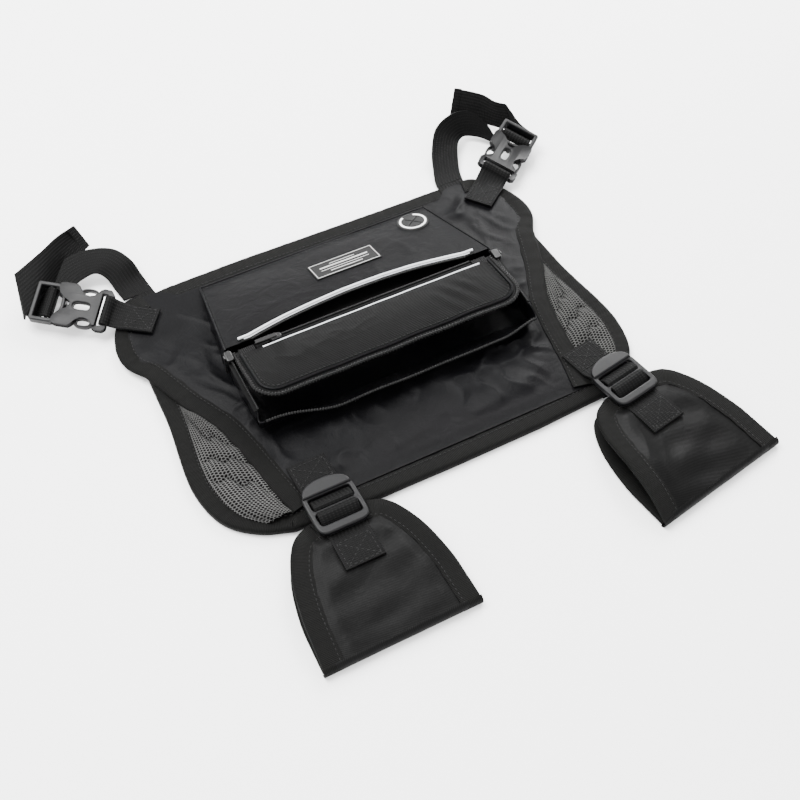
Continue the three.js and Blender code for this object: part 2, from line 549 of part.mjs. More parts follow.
// ---- Shoulder pads: folded leaves, ladder lock, webbing ----
const padHalf = smooth([
  [PAD.neckHalf, -PAD.neck], [PAD.neckHalf + 14, -PAD.neck - 6], [PAD.neckHalf + 27, -PAD.neck - 27],
  [PAD.foldHalf - 2, -PAD.neck - 60], [PAD.foldHalf, -PAD.fold],
], 9);
const leaf = symmetric(padHalf);
for (const [side, pad] of Object.entries(PADS)) {
  const hold = frame(vest, pad.x, LOCK_HINGE_Y, 0, 0, 0, pad.turn);
  const stubZ = Z_ON_FRONT + TAPE_T + GAP + WEB_T / 2;
  const web = (line) => band(line.map(([y, z]) => ({ p: [0, y, z], w: [1, 0, 0], width: SHOULDER_WEB })), WEB_T);
  piece(`shoulder_stub_${side}`, web([[GAP, stubZ], [22, stubZ]]), WEBBING, hold);
  const underLock = LOCK.z - GAP - WEB_T / 2 - 0.1;
  piece(`shoulder_strap_${side}`, web([[-26, underLock], [-19, underLock], [-9, stubZ + 3.4], [-GAP, stubZ]]), WEBBING, hold);
  const slot = (y0, y1) => rounded(-LOCK.half + LOCK.rail, LOCK.half - LOCK.rail, -y1, -y0, 1.2, 2);
  const farSlot = LOCK.far + LOCK.farBar;
  const middle = (farSlot + LOCK.near - LOCK.nearBar) / 2;
  const lockFrame = plate(
    rounded(-LOCK.half, LOCK.half, -LOCK.near, -LOCK.far, 5, 3), LOCK.z, LOCK.z + LOCK.t,
    [slot(farSlot, middle - LOCK.bar / 2), slot(middle + LOCK.bar / 2, LOCK.near - LOCK.nearBar)],
  );
  const thumb = plate(rounded(-LOCK.half + 4, LOCK.half - 4, -LOCK.far - 5, -LOCK.far + 5.5, 5, 3),
    LOCK.z + LOCK.t - 0.5, LOCK.z + LOCK.t + 1.6);
  piece(`ladder_lock_${side}`, join(lockFrame, thumb), PLASTIC, hold);
  const foldZ = PAD.lowT + 0.4;
  const upper = frame(hold, 0, -PAD.fold, foldZ, PAD.rise);
  piece(`pad_upper_${side}`, plate(shift(leaf, 0, PAD.fold + 0.2), 0, PAD.t), NYLON, upper);
  const webY = PAD.fold - LOCK.near;
  const padWeb = box(-SHOULDER_WEB / 2, SHOULDER_WEB / 2, webY - 29, webY + 0.5, PAD.t + GAP, PAD.t + GAP + WEB_T);
  piece(`pad_webbing_${side}`, padWeb, WEBBING, upper);
  piece(`pad_lower_${side}`, plate(shift(leaf, 0, 0.2), 0, PAD.lowT), NYLON, hold);
}

export default vest;
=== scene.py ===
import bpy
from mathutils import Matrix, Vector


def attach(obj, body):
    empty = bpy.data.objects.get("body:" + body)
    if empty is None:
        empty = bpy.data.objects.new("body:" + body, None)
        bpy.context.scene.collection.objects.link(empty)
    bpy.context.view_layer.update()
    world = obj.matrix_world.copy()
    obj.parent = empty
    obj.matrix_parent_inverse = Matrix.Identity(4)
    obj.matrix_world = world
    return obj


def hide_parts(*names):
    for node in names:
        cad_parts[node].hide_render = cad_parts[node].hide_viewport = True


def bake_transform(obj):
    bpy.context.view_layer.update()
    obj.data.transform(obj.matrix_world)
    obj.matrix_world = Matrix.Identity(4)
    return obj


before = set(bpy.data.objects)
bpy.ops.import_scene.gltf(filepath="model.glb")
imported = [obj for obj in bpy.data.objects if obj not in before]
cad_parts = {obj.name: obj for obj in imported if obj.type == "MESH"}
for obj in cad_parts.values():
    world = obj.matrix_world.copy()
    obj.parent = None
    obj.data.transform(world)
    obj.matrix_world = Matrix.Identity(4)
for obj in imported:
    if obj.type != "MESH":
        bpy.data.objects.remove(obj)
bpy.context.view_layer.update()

import logging
import math
from dataclasses import dataclass
from enum import Enum
from typing import Callable

import bmesh
import bpy
import numpy as np

logging.basicConfig(level=logging.INFO, format="%(message)s")
LOG = logging.getLogger("chest_bag")

Array = np.ndarray
Piece = bpy.types.Object
Tree = bpy.types.NodeTree
Socket = bpy.types.NodeSocket
Outputs = bpy.types.bpy_prop_collection
MM = 0.001
STITCH_STEP = 2.6 + 1.0  # a stitch and the gap after it, in mm
THREAD_RADIUS = 0.33
SIDES = {"left": -1, "right": 1}
UP = np.array([0.0, 0.0, 1.0])
ACROSS = np.array([1.0, 0.0, 0.0])
FLIP_X = np.array([-1, 1])


# ---- Numbers and curves ----


def linear(value: str) -> tuple[float, float, float, float]:
    """Turns an sRGB hex colour into linear red, green, blue and alpha.

    Args:
        value: six hex digits, with or without a leading hash.

    Returns:
        Four linear numbers, alpha 1.
    """
    digits = value.lstrip("#")
    parts = [int(digits[i:i + 2], 16) / 255 for i in (0, 2, 4)]
    bent = [c / 12.92 if c <= 0.04045 else ((c + 0.055) / 1.055) ** 2.4 for c in parts]
    return (bent[0], bent[1], bent[2], 1.0)


def ease(x: Array) -> Array:
    """Smooth step: 0 below 0, 1 above 1, and 3x squared minus 2x cubed between."""
    x = np.clip(x, 0.0, 1.0)
    return x * x * (3 - 2 * x)


def ripple(x: Array, y: Array | float, size: float, seed: int) -> Array:
    """Soft unevenness: the mean of seven sines of about the given wavelength, each in its own direction.

    Args:
        x: first coordinate, in mm.
        y: second coordinate, in mm.
        size: wavelength, in mm.
        seed: picks the directions and phases.

    Returns:
        Values from about -1 to 1.
    """
    rng = np.random.default_rng(seed)
    total = np.zeros(np.broadcast(x, y).shape)
    for angle, phase, stretch in zip(rng.uniform(0, math.tau, 7), rng.uniform(0, math.tau, 7),
                                     rng.uniform(0.6, 1.8, 7)):
        total += np.sin((x * math.cos(angle) + y * math.sin(angle)) * math.tau * stretch / size + phase)
    return total / 4.0


def creases(x: Array, y: Array, size: float, seed: int) -> Array:
    """Cloth folds: one minus the size of a slow ripple, cubed into thin ridges, faded by another."""
    warp = 0.35 * size * ripple(x, y, 2.3 * size, seed + 50)
    ridge = 1 - np.abs(ripple(x + warp, y - warp, size, seed))
    return np.clip(ridge, 0, 1) ** 3 * ease(0.5 + 0.9 * ripple(x, y, 2.7 * size, seed + 9))


def resample(path: Array, count: int) -> Array:
    """The same line with points an even distance apart.

    Args:
        path: the line's points.
        count: how many points to return.

    Returns:
        The new points.
    """
    steps = np.linalg.norm(np.diff(path, axis=0), axis=1)
    along = np.concatenate([[0], np.cumsum(steps)])
    wanted = np.linspace(0, along[-1], count)
    return np.stack([np.interp(wanted, along, column) for column in path.T], axis=1)


def spline(points: list, count: int) -> Array:
    """A smooth line through the points: a centripetal Catmull-Rom curve, evenly resampled.

    Args:
        points: the points to pass through, each with two or three coordinates.
        count: how many points to return.

    Returns:
        An array of count points.
    """
    p = np.asarray(points, float)
    a, b, c, d = (np.vstack([2 * p[0] - p[1], p, 2 * p[-1] - p[-2]])[i:len(p) - 1 + i] for i in range(4))
    span = [np.linalg.norm(v - u, axis=1, keepdims=True) ** 0.5 for u, v in ((a, b), (b, c), (c, d))]
    t1, t2, t3 = span[0], span[0] + span[1], span[0] + span[1] + span[2]
    t = t1 + (t2 - t1) * np.linspace(0, 1, 24, endpoint=False)[:, None, None]
    a1 = (t1 - t) / t1 * a + t / t1 * b
    a2 = (t2 - t) / (t2 - t1) * b + (t - t1) / (t2 - t1) * c
    a3 = (t3 - t) / (t3 - t2) * c + (t - t2) / (t3 - t2) * d
    b1 = (t2 - t) / t2 * a1 + t / t2 * a2
    b2 = (t3 - t) / (t3 - t1) * a2 + (t - t1) / (t3 - t1) * a3
    curve = (t2 - t) / (t2 - t1) * b1 + (t - t1) / (t2 - t1) * b2
    return resample(np.vstack([curve.transpose(1, 0, 2).reshape(-1, p.shape[1]), p[-1:]]), count)


def unit(vectors: Array) -> Array:
    """Vectors of the same directions and length 1."""
    return vectors / np.linalg.norm(vectors, axis=-1, keepdims=True)


def tangents(path: Array, closed: bool = False) -> Array:
    """Unit directions along a line, from each point's neighbours."""
    if closed:
        ahead = np.roll(path, -1, axis=0) - np.roll(path, 1, axis=0)
    else:
        ahead = np.gradient(path, axis=0)
    return unit(ahead)


def left_of(path: Array, closed: bool = False) -> Array:
    """Unit plan directions a quarter turn anticlockwise from a plan line's own direction."""
    ahead = tangents(path, closed)
    return np.stack([-ahead[:, 1], ahead[:, 0]], axis=1)


def edge_steps(count: int, rim: float = 0.004) -> Array:
    """Numbers from 0 to 1, even but for extra ones close to both ends, where a rim turns over."""
    inner = np.linspace(rim * 2, 1 - rim * 2, count)
    start = rim * np.array([0, 0.25, 0.6, 1.2])
    return np.concatenate([start, inner, 1 - start[::-1]])


def coons(near: Array, far: Array, left: Array, right: Array, u: Array, v: Array) -> Array:
    """A patch filling four border lines: the two ruled surfaces between facing borders, less the bilinear
    one through the corners.

    Args:
        near: border at v = 0, from left to right.
        far: border at v = 1, from left to right.
        left: border at u = 0, from near to far.
        right: border at u = 1, from near to far.
        u: places across, 0 to 1.
        v: places from near to far, 0 to 1.

    Returns:
        Points in an array of len(u) by len(v) by the borders' dimension.
    """
    def along(line: Array, t: Array) -> Array:
        where = np.linspace(0, 1, len(line))
        return np.stack([np.interp(t, where, column) for column in line.T], axis=1)

    n, f = along(near, u)[:, None], along(far, u)[:, None]
    l, r = along(left, v)[None], along(right, v)[None]
    s, t = u[:, None, None], v[None, :, None]
    corners = ((1 - s) * (1 - t) * near[0] + s * (1 - t) * near[-1] + (1 - s) * t * far[0] + s * t * far[-1])
    return (1 - t) * n + t * f + (1 - s) * l + s * r - corners


def away_from(plan: Array, line: Array) -> Array:
    """How far each point of a plan grid is from a plan line's points, in mm."""
    flat = plan.reshape(-1, 2)
    best = np.full(len(flat), 1e9)
    for block in np.array_split(line, 12):
        best = np.minimum(best, np.linalg.norm(flat[:, None] - block[None], axis=2).min(axis=1))
    return best.reshape(plan.shape[:2])


def raised(plan: Array, z: Array | float) -> Array:
    """Plan points with a height added."""
    return np.concatenate([plan, np.broadcast_to(z, plan.shape[:-1])[..., None]], axis=-1)


def points_at(*columns: Array | float) -> Array:
    """Points from their coordinates, each an array or one number for all."""
    return np.stack(np.broadcast_arrays(*columns), axis=-1)


def each(direction: Array, path: Array) -> Array:
    """One direction, repeated for every point of a line."""
    return np.tile(direction, (len(path), 1))


def both_sides(right: Array, between: Array | None = None) -> Array:
    """A plan line, the points between if any, and the line's mirror image run backwards."""
    middle = np.empty((0, 2)) if between is None else between
    return np.vstack([right, middle, (right * FLIP_X)[::-1]])


def rectangle(x0: float, x1: float, y0: float, y1: float) -> Array:
    """The four corners of an upright plan rectangle, in order."""
    return np.array([[x0, y0], [x1, y0], [x1, y1], [x0, y1]])


def closed_outline(half: list, count: int) -> Array:
    """A closed outline, the same on both sides of its x axis, from the side above it."""
    edge = resample(np.array(half, float), count)[1:-1]
    return np.vstack([edge, (edge * [1, -1])[::-1]])


# ---- Meshes ----


def grid_cells(rows: int, columns: int) -> tuple[Array, Array]:
    """Row and column numbers of the four corners of each cell of a grid, going round."""
    i, j = np.meshgrid(np.arange(rows), np.arange(columns), indexing="ij")
    return np.stack([i, i + 1, i + 1, i], -1).reshape(-1, 4), np.stack([j, j, j + 1, j + 1],
                                                                       -1).reshape(-1, 4)


def linked(name: str, data: bpy.types.ID) -> Piece:
    """A new object with the given data, in the scene."""
    made = bpy.data.objects.new(name, data)
    bpy.context.scene.collection.objects.link(made)
    return made


def smooth(data: bpy.types.Mesh, crease: float) -> None:
    """Shades a mesh smooth, but for edges sharper than so many degrees."""
    data.polygons.foreach_set("use_smooth", np.ones(len(data.polygons), bool))
    data.set_sharp_from_angle(angle=math.radians(crease))


def reshape(data: bpy.types.Mesh, change: Callable[[Array], Array]) -> None:
    """Puts every vertex of a mesh through a change, in metres."""
    points = np.empty(len(data.vertices) * 3)
    data.vertices.foreach_get("co", points)
    data.vertices.foreach_set("co", change(points.reshape(-1, 3)).ravel())


def new_object(name: str, points: Array, faces: list, corners: Array, crease: float = 42.0) -> Piece:
    """A mesh object in the part's frame, with its faces pointing outwards.

    Args:
        name: the piece's name.
        points: vertices, in mm.
        faces: vertex numbers of each face.
        corners: the surface coordinates of each face corner, in metres, in the order of the faces.
        crease: edges sharper than this many degrees stay sharp.

    Returns:
        The object, linked to the scene.
    """
    flat = points.reshape(-1, 3) * MM
    first = flat[[f[0] for f in faces]]
    fans = sum(
        np.einsum("ij,ij->i", first, np.cross(flat[[f[k] for f in faces]], flat[[f[k + 1] for f in faces]]))
        for k in (1, 2)
    ) if all(len(f) >= 4 for f in faces) else np.ones(1)
    data = bpy.data.meshes.new(name)
    data.from_pydata(flat, [], [list(f) for f in faces])
    layer = data.uv_layers.new(name="surface")
    layer.data.foreach_set("uv", np.asarray(corners, np.float32).ravel())
    if fans.sum() < 0:
        data.flip_normals()
    smooth(data, crease)
    data.update()
    return linked(name, data)


def lengths(points: Array, axis: int, closed: bool) -> Array:
    """Distance along one direction of a grid of points, as a mean over the other, in metres."""
    whole = np.concatenate([points, np.take(points, [0], axis=axis)], axis=axis) if closed else points
    steps = np.diff(whole, axis=axis)
    far = np.linalg.norm(steps, axis=2).mean(axis=1 - axis)
    return np.concatenate([[0], np.cumsum(far)]) * MM


def tube(name: str, points: Array, closed: bool = False, crease: float = 42.0) -> Piece:
    """A closed piece from a grid whose rows are rings: each ring joins itself, and rings join in order.

    Args:
        name: the piece's name.
        points: rings by ring points by 3, in mm.
        closed: whether the last ring joins the first; otherwise each end gets a face.
        crease: edges sharper than this many degrees stay sharp.

    Returns:
        The object.
    """
    rings, around = points.shape[:2]
    i, j = grid_cells(rings if closed else rings - 1, around)
    faces = (i % rings) * around + j % around
    u, v = lengths(points, 0, closed), lengths(points, 1, True)
    corners = np.stack([u[i], v[j]], axis=-1).reshape(-1, 2)
    all_faces = faces.tolist()
    if not closed:
        last = (rings - 1) * around
        all_faces += [list(range(around))[::-1], list(range(last, last + around))]
        rim = np.stack([np.zeros(around), v[:-1]], axis=1)
        corners = np.vstack([corners, rim[::-1], rim + [u[-1], 0]])
    return new_object(name, points, all_faces, corners, crease)


def slab(name: str, top: Array, bottom: Array, crease: float = 42.0) -> Piece:
    """A closed piece of cloth or padding between two grids that share their layout, joined round the rim.

    Args:
        name: the piece's name.
        top: upper grid, in mm.
        bottom: lower grid, in mm.
        crease: edges sharper than this many degrees stay sharp.

    Returns:
        The object.
    """
    rows, columns = top.shape[:2]
    i, j = grid_cells(rows - 1, columns - 1)
    upper = i * columns + j
    lower = upper[:, ::-1] + rows * columns
    loop = np.concatenate([
        np.arange(rows) * columns, (rows - 1) * columns + np.arange(1, columns),
        np.arange(rows - 2, -1, -1) * columns + columns - 1, np.arange(columns - 2, 0, -1),
    ])
    ahead = np.roll(loop, -1)
    side = np.stack([ahead, loop, loop + rows * columns, ahead + rows * columns], axis=1)
    u, v = lengths(top, 0, False), lengths(top, 1, False)
    surface = points_at(u[:, None], v[None, :]).reshape(-1, 2)
    numbers = np.vstack([upper, lower, side])
    corners = surface[numbers % (rows * columns)].reshape(-1, 2)
    points = np.concatenate([top.reshape(-1, 3), bottom.reshape(-1, 3)])
    return new_object(name, points, numbers.tolist(), corners, crease)


def carried(path: Array, side: Array, up: Array, across: Array | tuple, rise: Array | tuple) -> Array:
    """A profile carried along a path: each ring is the path point plus across times side plus rise times up.

    Args:
        path: points, in mm.
        side: unit directions of the profile's first axis, one per point.
        up: unit directions of its second axis, one per point.
        across: the profile's first coordinates, one row per point or one row for all.
        rise: the profile's second coordinates, likewise.

    Returns:
        Rings by profile points by 3.
    """
    across, rise = np.atleast_2d(across)[..., None], np.atleast_2d(rise)[..., None]
    return path[:, None] + across * side[:, None] + rise * up[:, None]


def flat_profile(width: float, thick: float) -> tuple[Array, Array]:
    """The section of a woven band: flat faces and rounded edges, going round."""
    turn = np.radians([-90, -50, 0, 50, 90])
    reach, half = width / 2 - thick / 2, thick / 2
    across = np.concatenate([
        np.linspace(-reach, reach, 7)[:-1], reach + half * np.cos(turn),
        np.linspace(reach, -reach, 7)[1:-1], -reach - half * np.cos(turn[::-1][:-1]),
    ])
    rise = np.concatenate([
        np.full(6, -half), half * np.sin(turn), np.full(5, half), half * np.sin(turn[::-1][:-1]),
    ])
    return across, rise


def strap_rings(path: Array, widthwise: Array, width: float, thick: float) -> Array:
    """A woven band along a path, its width turned as told.

    Args:
        path: centre line, in mm.
        widthwise: rough width directions, one per point; the part along the path is taken out.
        width: width in mm.
        thick: thickness in mm.

    Returns:
        Rings for tube().
    """
    ahead = tangents(path)
    side = unit(widthwise - (widthwise * ahead).sum(1, keepdims=True) * ahead)
    up = np.cross(ahead, side)
    return carried(path, side, up, *flat_profile(width, thick))


def round_cord(path: Array, radius: Array, around: int = 8) -> Array:
    """A round cord along a line, as circles square to it.

    Args:
        path: the line, in mm.
        radius: in mm, one number or one for each point.
        around: points in each circle.

    Returns:
        Rings for tube().
    """
    ahead = tangents(path)
    side = unit(np.cross(ahead, UP))
    turn = np.linspace(0, math.tau, around, endpoint=False)
    size = np.broadcast_to(radius, len(path))[:, None]
    return carried(path, side, np.cross(side, ahead), size * np.cos(turn), size * np.sin(turn))


def cord(name: str, path: Array, radius: Array | float, around: int = 8) -> Piece:
    """A round cord as a piece."""
    return tube(name, round_cord(path, radius, around))


def stitches(name: str, path: Array, normal: Array) -> Piece:
    """A row of lockstitches along a line, each a thread that rises from the cloth, runs along it and dives
    again.

    Each is a six-sided tube of four rings: ring centres lie on the line, the ends 0.3 mm below the cloth.

    Args:
        name: the piece's name.
        path: the line on the cloth, in mm.
        normal: the cloth's outward direction at each point, or one for all.

    Returns:
        One object with every stitch.
    """
    total = np.linalg.norm(np.diff(path, axis=0), axis=1).sum()
    count = max(1, int(total / STITCH_STEP))
    fine = resample(np.hstack([path, np.broadcast_to(normal, path.shape)]), count * 8 + 1)
    starts = np.arange(count) * 8
    offsets = np.array([0, 1, 4, 5])
    centres = fine[starts[:, None] + offsets, :3]
    out = unit(fine[starts[:, None] + offsets, 3:])
    ahead = unit(fine[starts + 5, :3] - fine[starts, :3])
    side = np.cross(ahead[:, None], out)
    centres = centres + out * np.array([-0.3, 0.12, 0.12, -0.3])[None, :, None]
    turn = np.linspace(0, math.tau, 6, endpoint=False)
    c, s = np.cos(turn)[:, None], np.sin(turn)[:, None]
    ring = THREAD_RADIUS * (c * side[:, :, None] + 0.8 * s * out[:, :, None])
    points = (centres[:, :, None] + ring).reshape(-1, 3)
    i, j = grid_cells(3, 6)
    ends = [[5, 4, 3, 2], [5, 2, 1, 0], [18, 19, 20, 21], [18, 21, 22, 23]]
    one = np.vstack([i * 6 + j % 6, ends])
    faces = (one[None] + (np.arange(count) * 24)[:, None, None]).reshape(-1, 4)
    return new_object(name, points, faces.tolist(), np.zeros((faces.size, 2)), 60)


def joined(name: str, parts: list[Piece]) -> Piece:
    """Several pieces made one, under the given name."""
    if len(parts) > 1:
        with bpy.context.temp_override(active_object=parts[0], object=parts[0],
                                       selected_editable_objects=parts,
                                       selected_objects=parts):
            bpy.ops.object.join()
    parts[0].name = name
    parts[0].data.name = name
    return parts[0]


def refined(node: str, name: str, bevel: float) -> Piece:
    """A copy of a CAD node with its doubles merged, its flat faces whole and its edges rounded.

    Args:
        node: the CAD node.
        name: the new piece's name.
        bevel: width of the rounding in mm.

    Returns:
        The object, with a Bevel modifier.
    """
    work = bmesh.new()
    work.from_mesh(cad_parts[node].data)
    bmesh.ops.remove_doubles(work, verts=work.verts, dist=2e-6)
    bmesh.ops.dissolve_limit(work, angle_limit=math.radians(1), verts=work.verts, edges=work.edges)
    data = bpy.data.meshes.new(name)
    work.to_mesh(data)
    work.free()
    smooth(data, 35)
    made = linked(name, data)
    edge = made.modifiers.new("rounded edges", "BEVEL")
    edge.width, edge.segments = bevel * MM, 3
    edge.limit_method, edge.angle_limit = "ANGLE", math.radians(35)
    edge.harden_normals = True
    return made


def moulding(name: str, loops: list[Array], low: float, high: float, bevel: float) -> Piece:
    """A flat moulded plate with holes and rounded edges, made by filling and extruding a closed curve.

    Args:
        name: the piece's name.
        loops: outline first, then holes, as plan points in mm.
        low: its underside in mm.
        high: its upper face in mm.
        bevel: radius of its edges in mm.

    Returns:
        The object, in its own frame.
    """
    curve = bpy.data.curves.new(name, "CURVE")
    curve.dimensions, curve.fill_mode = "2D", "BOTH"
    curve.extrude = ((high - low) / 2 - bevel) * MM
    curve.bevel_depth, curve.bevel_resolution, curve.offset = bevel * MM, 3, -bevel * MM
    for loop in loops:
        line = curve.splines.new("POLY")
        line.points.add(len(loop) - 1)
        flat = np.hstack([np.asarray(loop, float) * MM, np.zeros((len(loop), 1)), np.ones((len(loop), 1))])
        line.points.foreach_set("co", flat.ravel())
        line.use_cyclic_u = True
    shell = linked(name, curve)
    depsgraph = bpy.context.evaluated_depsgraph_get()
    data = bpy.data.meshes.new_from_object(shell.evaluated_get(depsgraph))
    bpy.data.objects.remove(shell)
    bpy.data.curves.remove(curve)
    work = bmesh.new()
    work.from_mesh(data)
    bmesh.ops.remove_doubles(work, verts=work.verts, dist=2e-6)
    bmesh.ops.translate(work, verts=work.verts, vec=(0, 0, (low + high) / 2 * MM))
    work.to_mesh(data)
    work.free()
    smooth(data, 40)
    data.name = name
    made = linked(name, data)
    made.modifiers.new("flat faces", "WEIGHTED_NORMAL").keep_sharp = True
    return made


def moved(piece: Piece, out: Callable[[Array], Array]) -> Piece:
    """A piece with every point taken, in mm, through the given change of frame."""
    reshape(piece.data, lambda points: out(points / MM) * MM)
    piece.data.update()
    return piece


def oval(x: float, y: float, wide: float, tall: float, power: float = 2.0, count: int = 40) -> Array:
    """A superellipse.

    Args:
        x: its middle.
        y: its middle.
        wide: half width.
        tall: half height.
        power: 2 for an ellipse, more for squarer corners.
        count: points round it.

    Returns:
        Plan points.
    """
    turn = np.linspace(0, math.tau, count, endpoint=False)
    c, s = np.cos(turn), np.sin(turn)
    across, along = (np.sign(v) * np.abs(v) ** (2 / power) for v in (c, s))
    return points_at(x + wide * across, y + tall * along)


# ---- Materials ----


def feed(tree: Tree, node: bpy.types.Node, inputs: dict) -> None:
    """Sets a node's inputs: each to a value, or to the socket that feeds it."""
    for key, value in inputs.items():
        if isinstance(value, Socket):
            tree.links.new(value, node.inputs[key])
        else:
            node.inputs[key].default_value = value


def add_node(tree: Tree, kind: str, inputs: dict | None = None, **settings) -> bpy.types.Node:
    """Adds one node with its settings and links.

    Args:
        tree: the node tree.
        kind: the node's type name.
        inputs: input name or number to a value, or to the socket that feeds it.
        settings: attributes to set on the node.

    Returns:
        The node.
    """
    node = tree.nodes.new(kind)
    for key, value in settings.items():
        setattr(node, key, value)
    feed(tree, node, inputs or {})
    return node


def noise(tree: Tree, place: Outputs, **inputs) -> Socket:
    """Cloudy noise in the object's own space, from 0 to 1."""
    return add_node(tree, "ShaderNodeTexNoise", {"Vector": place["Object"], **inputs}).outputs["Fac"]


def ranged(tree: Tree, value: Socket, low: float, high: float,
           source: dict | None = None) -> Socket:
    """A value stretched to run from low to high; source may name the range it came from."""
    inputs = {"Value": value, **(source or {}), "To Min": low, "To Max": high}
    return add_node(tree, "ShaderNodeMapRange", inputs).outputs[0]


def bump(tree: Tree, height: Socket, depth: float, strength: float,
         over: Socket | None = None) -> Socket:
    """Relief of the given depth in mm, over another relief if told."""
    inputs = {"Height": height, "Distance": depth * MM, "Strength": strength}
    if over is not None:
        inputs["Normal"] = over
    return add_node(tree, "ShaderNodeBump", inputs).outputs[0]


class Weave(Enum):
    """How a cloth's threads cross, which sets its relief."""

    PLAIN = "threads cross one over, one under"
    TWILL = "threads step sideways, giving diagonal lines"
    RIBBED = "ribs across the length"
    CORDED = "ribs along the length"
    WEBBING = "ribs across, broken by lines along the length"
    HONEYCOMB = "open hexagons"


@dataclass(frozen=True)
class Finish:
    """What a piece is made of.

    Attributes:
        name: the real material.
        slot: name of a material slot; not used.
    """

    name: str
    slot: str

    def surface(self, tree: Tree, place: Outputs) -> dict:
        """The shader's inputs, as values or as the sockets that feed them."""
        raise NotImplementedError

    def material(self) -> bpy.types.Material:
        """The material, made once."""
        made = bpy.data.materials.get(self.name)
        if made:
            return made
        made = bpy.data.materials.new(self.name)
        made.use_nodes = True
        tree = made.node_tree
        place = add_node(tree, "ShaderNodeTexCoord").outputs
        feed(tree, tree.nodes["Principled BSDF"], self.surface(tree, place))
        return made


@dataclass(frozen=True)
class Cloth(Finish):
    """A woven or knitted cloth.

    Attributes:
        low: colour in the valleys of the weave, darker there as painted shade.
        high: colour of the raised threads, lighter there as a painted highlight.
        weave: how the threads cross.
        pitch: distance between ribs, threads or cells, in mm.
        relief: height of the weave in mm.
        roughness: mean roughness.
        sheen: strength of the fibres' own sheen.
        crumple: height of small creases in mm.
        shine: how strongly the threads mirror light; 0.5 is plain plastic.
    """

    low: str
    high: str
    weave: Weave
    pitch: float
    relief: float
    roughness: float = 0.6
    sheen: float = 0.1
    crumple: float = 0.25
    shine: float = 0.05

    def pattern(self, tree: Tree, where: Socket) -> Socket:
        """Height of the weave from 0 to 1, as a socket."""
        if self.weave is Weave.HONEYCOMB:
            return self.hexagons(tree, where)
        step = self.pitch * MM
        if self.weave is Weave.TWILL:
            return self.wave(tree, where, "DIAGONAL", math.tau / 10 / step / math.sqrt(2))
        across = self.wave(tree, where, "X", math.tau / 20 / step)
        if self.weave is Weave.RIBBED:
            return across
        factor = {Weave.PLAIN: 1.0, Weave.CORDED: 1.0, Weave.WEBBING: 0.55}[self.weave]
        along = self.wave(tree, where, "Y", factor * math.tau / 20 / step)
        if self.weave is Weave.CORDED:
            return along
        return add_node(tree, "ShaderNodeMath", {0: across, 1: along}, operation="MULTIPLY").outputs[0]

    @staticmethod
    def wave(tree: Tree, where: Socket, way: str, scale: float) -> Socket:
        """Even ribs across one direction of the surface, from 0 to 1."""
        inputs = {"Vector": where, "Scale": scale}
        kinds = {"wave_type": "BANDS", "wave_profile": "SIN", "bands_direction": way}
        return add_node(tree, "ShaderNodeTexWave", inputs, **kinds).outputs["Fac"]

    def hexagons(self, tree: Tree, where: Socket) -> Socket:
        """Strands round hexagonal cells: distance to the nearer of two lattices, 1 at a cell's edge."""
        size = (self.pitch * MM, self.pitch * MM * math.sqrt(3), 1.0)
        half = (size[0] / 2, size[1] / 2, 0.5)

        def local(shift: tuple) -> Socket:
            spot = where
            steps = (("ADD", {1: shift}), ("WRAP", {1: size, 2: (0, 0, 0)}), ("SUBTRACT", {1: half}),
                     ("MULTIPLY", {1: (1, 1, 0)}))
            for operation, more in steps:
                spot = add_node(tree, "ShaderNodeVectorMath", {0: spot, **more},
                                operation=operation).outputs[0]
            return add_node(tree, "ShaderNodeVectorMath", {0: spot}, operation="LENGTH").outputs["Value"]

        first, second = local((0, 0, 0)), local((half[0], half[1], 0))
        near = add_node(tree, "ShaderNodeMath", {0: first, 1: second}, operation="MINIMUM")
        edge = add_node(tree, "ShaderNodeMapRange", {
            "Value": near.outputs[0], "From Min": 0.30 * size[0], "From Max": 0.44 * size[0], "To Min": 0.0,
            "To Max": 1.0,
        }, interpolation_type="SMOOTHSTEP")
        return edge.outputs[0]

    def surface(self, tree: Tree, place: Outputs) -> dict:
        """Threads in two colours, darker in the weave's valleys and lighter on top as painted shade and
        painted highlight, under cloudy wear, with the weave's relief over soft creases.
        """
        height = self.pattern(tree, place["UV"])
        cloud = noise(tree, place, Scale=38.0, Detail=4.0)
        fold = noise(tree, place, Scale=85.0, Detail=3.0, Distortion=0.6)
        shade = ranged(tree, cloud, 0.82, 1.18, {"From Min": 0.3, "From Max": 0.7})
        # The weave's valleys take the darker colour and its raised threads the lighter one: painted shade and
        # painted highlight that follow the relief.
        colours = {"Factor": height, "A": linear(self.low), "B": linear(self.high)}
        thread = add_node(tree, "ShaderNodeMix", colours, data_type="RGBA").outputs["Result"]
        weave_shade_and_wear = add_node(tree, "ShaderNodeVectorMath", {0: thread, "Scale": shade}, operation="SCALE")
        return {
            "Base Color": weave_shade_and_wear.outputs[0],
            "Roughness": ranged(tree, cloud, self.roughness - 0.08, self.roughness + 0.08),
            "Normal": bump(tree, height, self.relief, 1.0, bump(tree, fold, self.crumple, 1.0)),
            "Sheen Weight": self.sheen,
            "Sheen Roughness": 0.4,
            "Specular IOR Level": self.shine,
        }


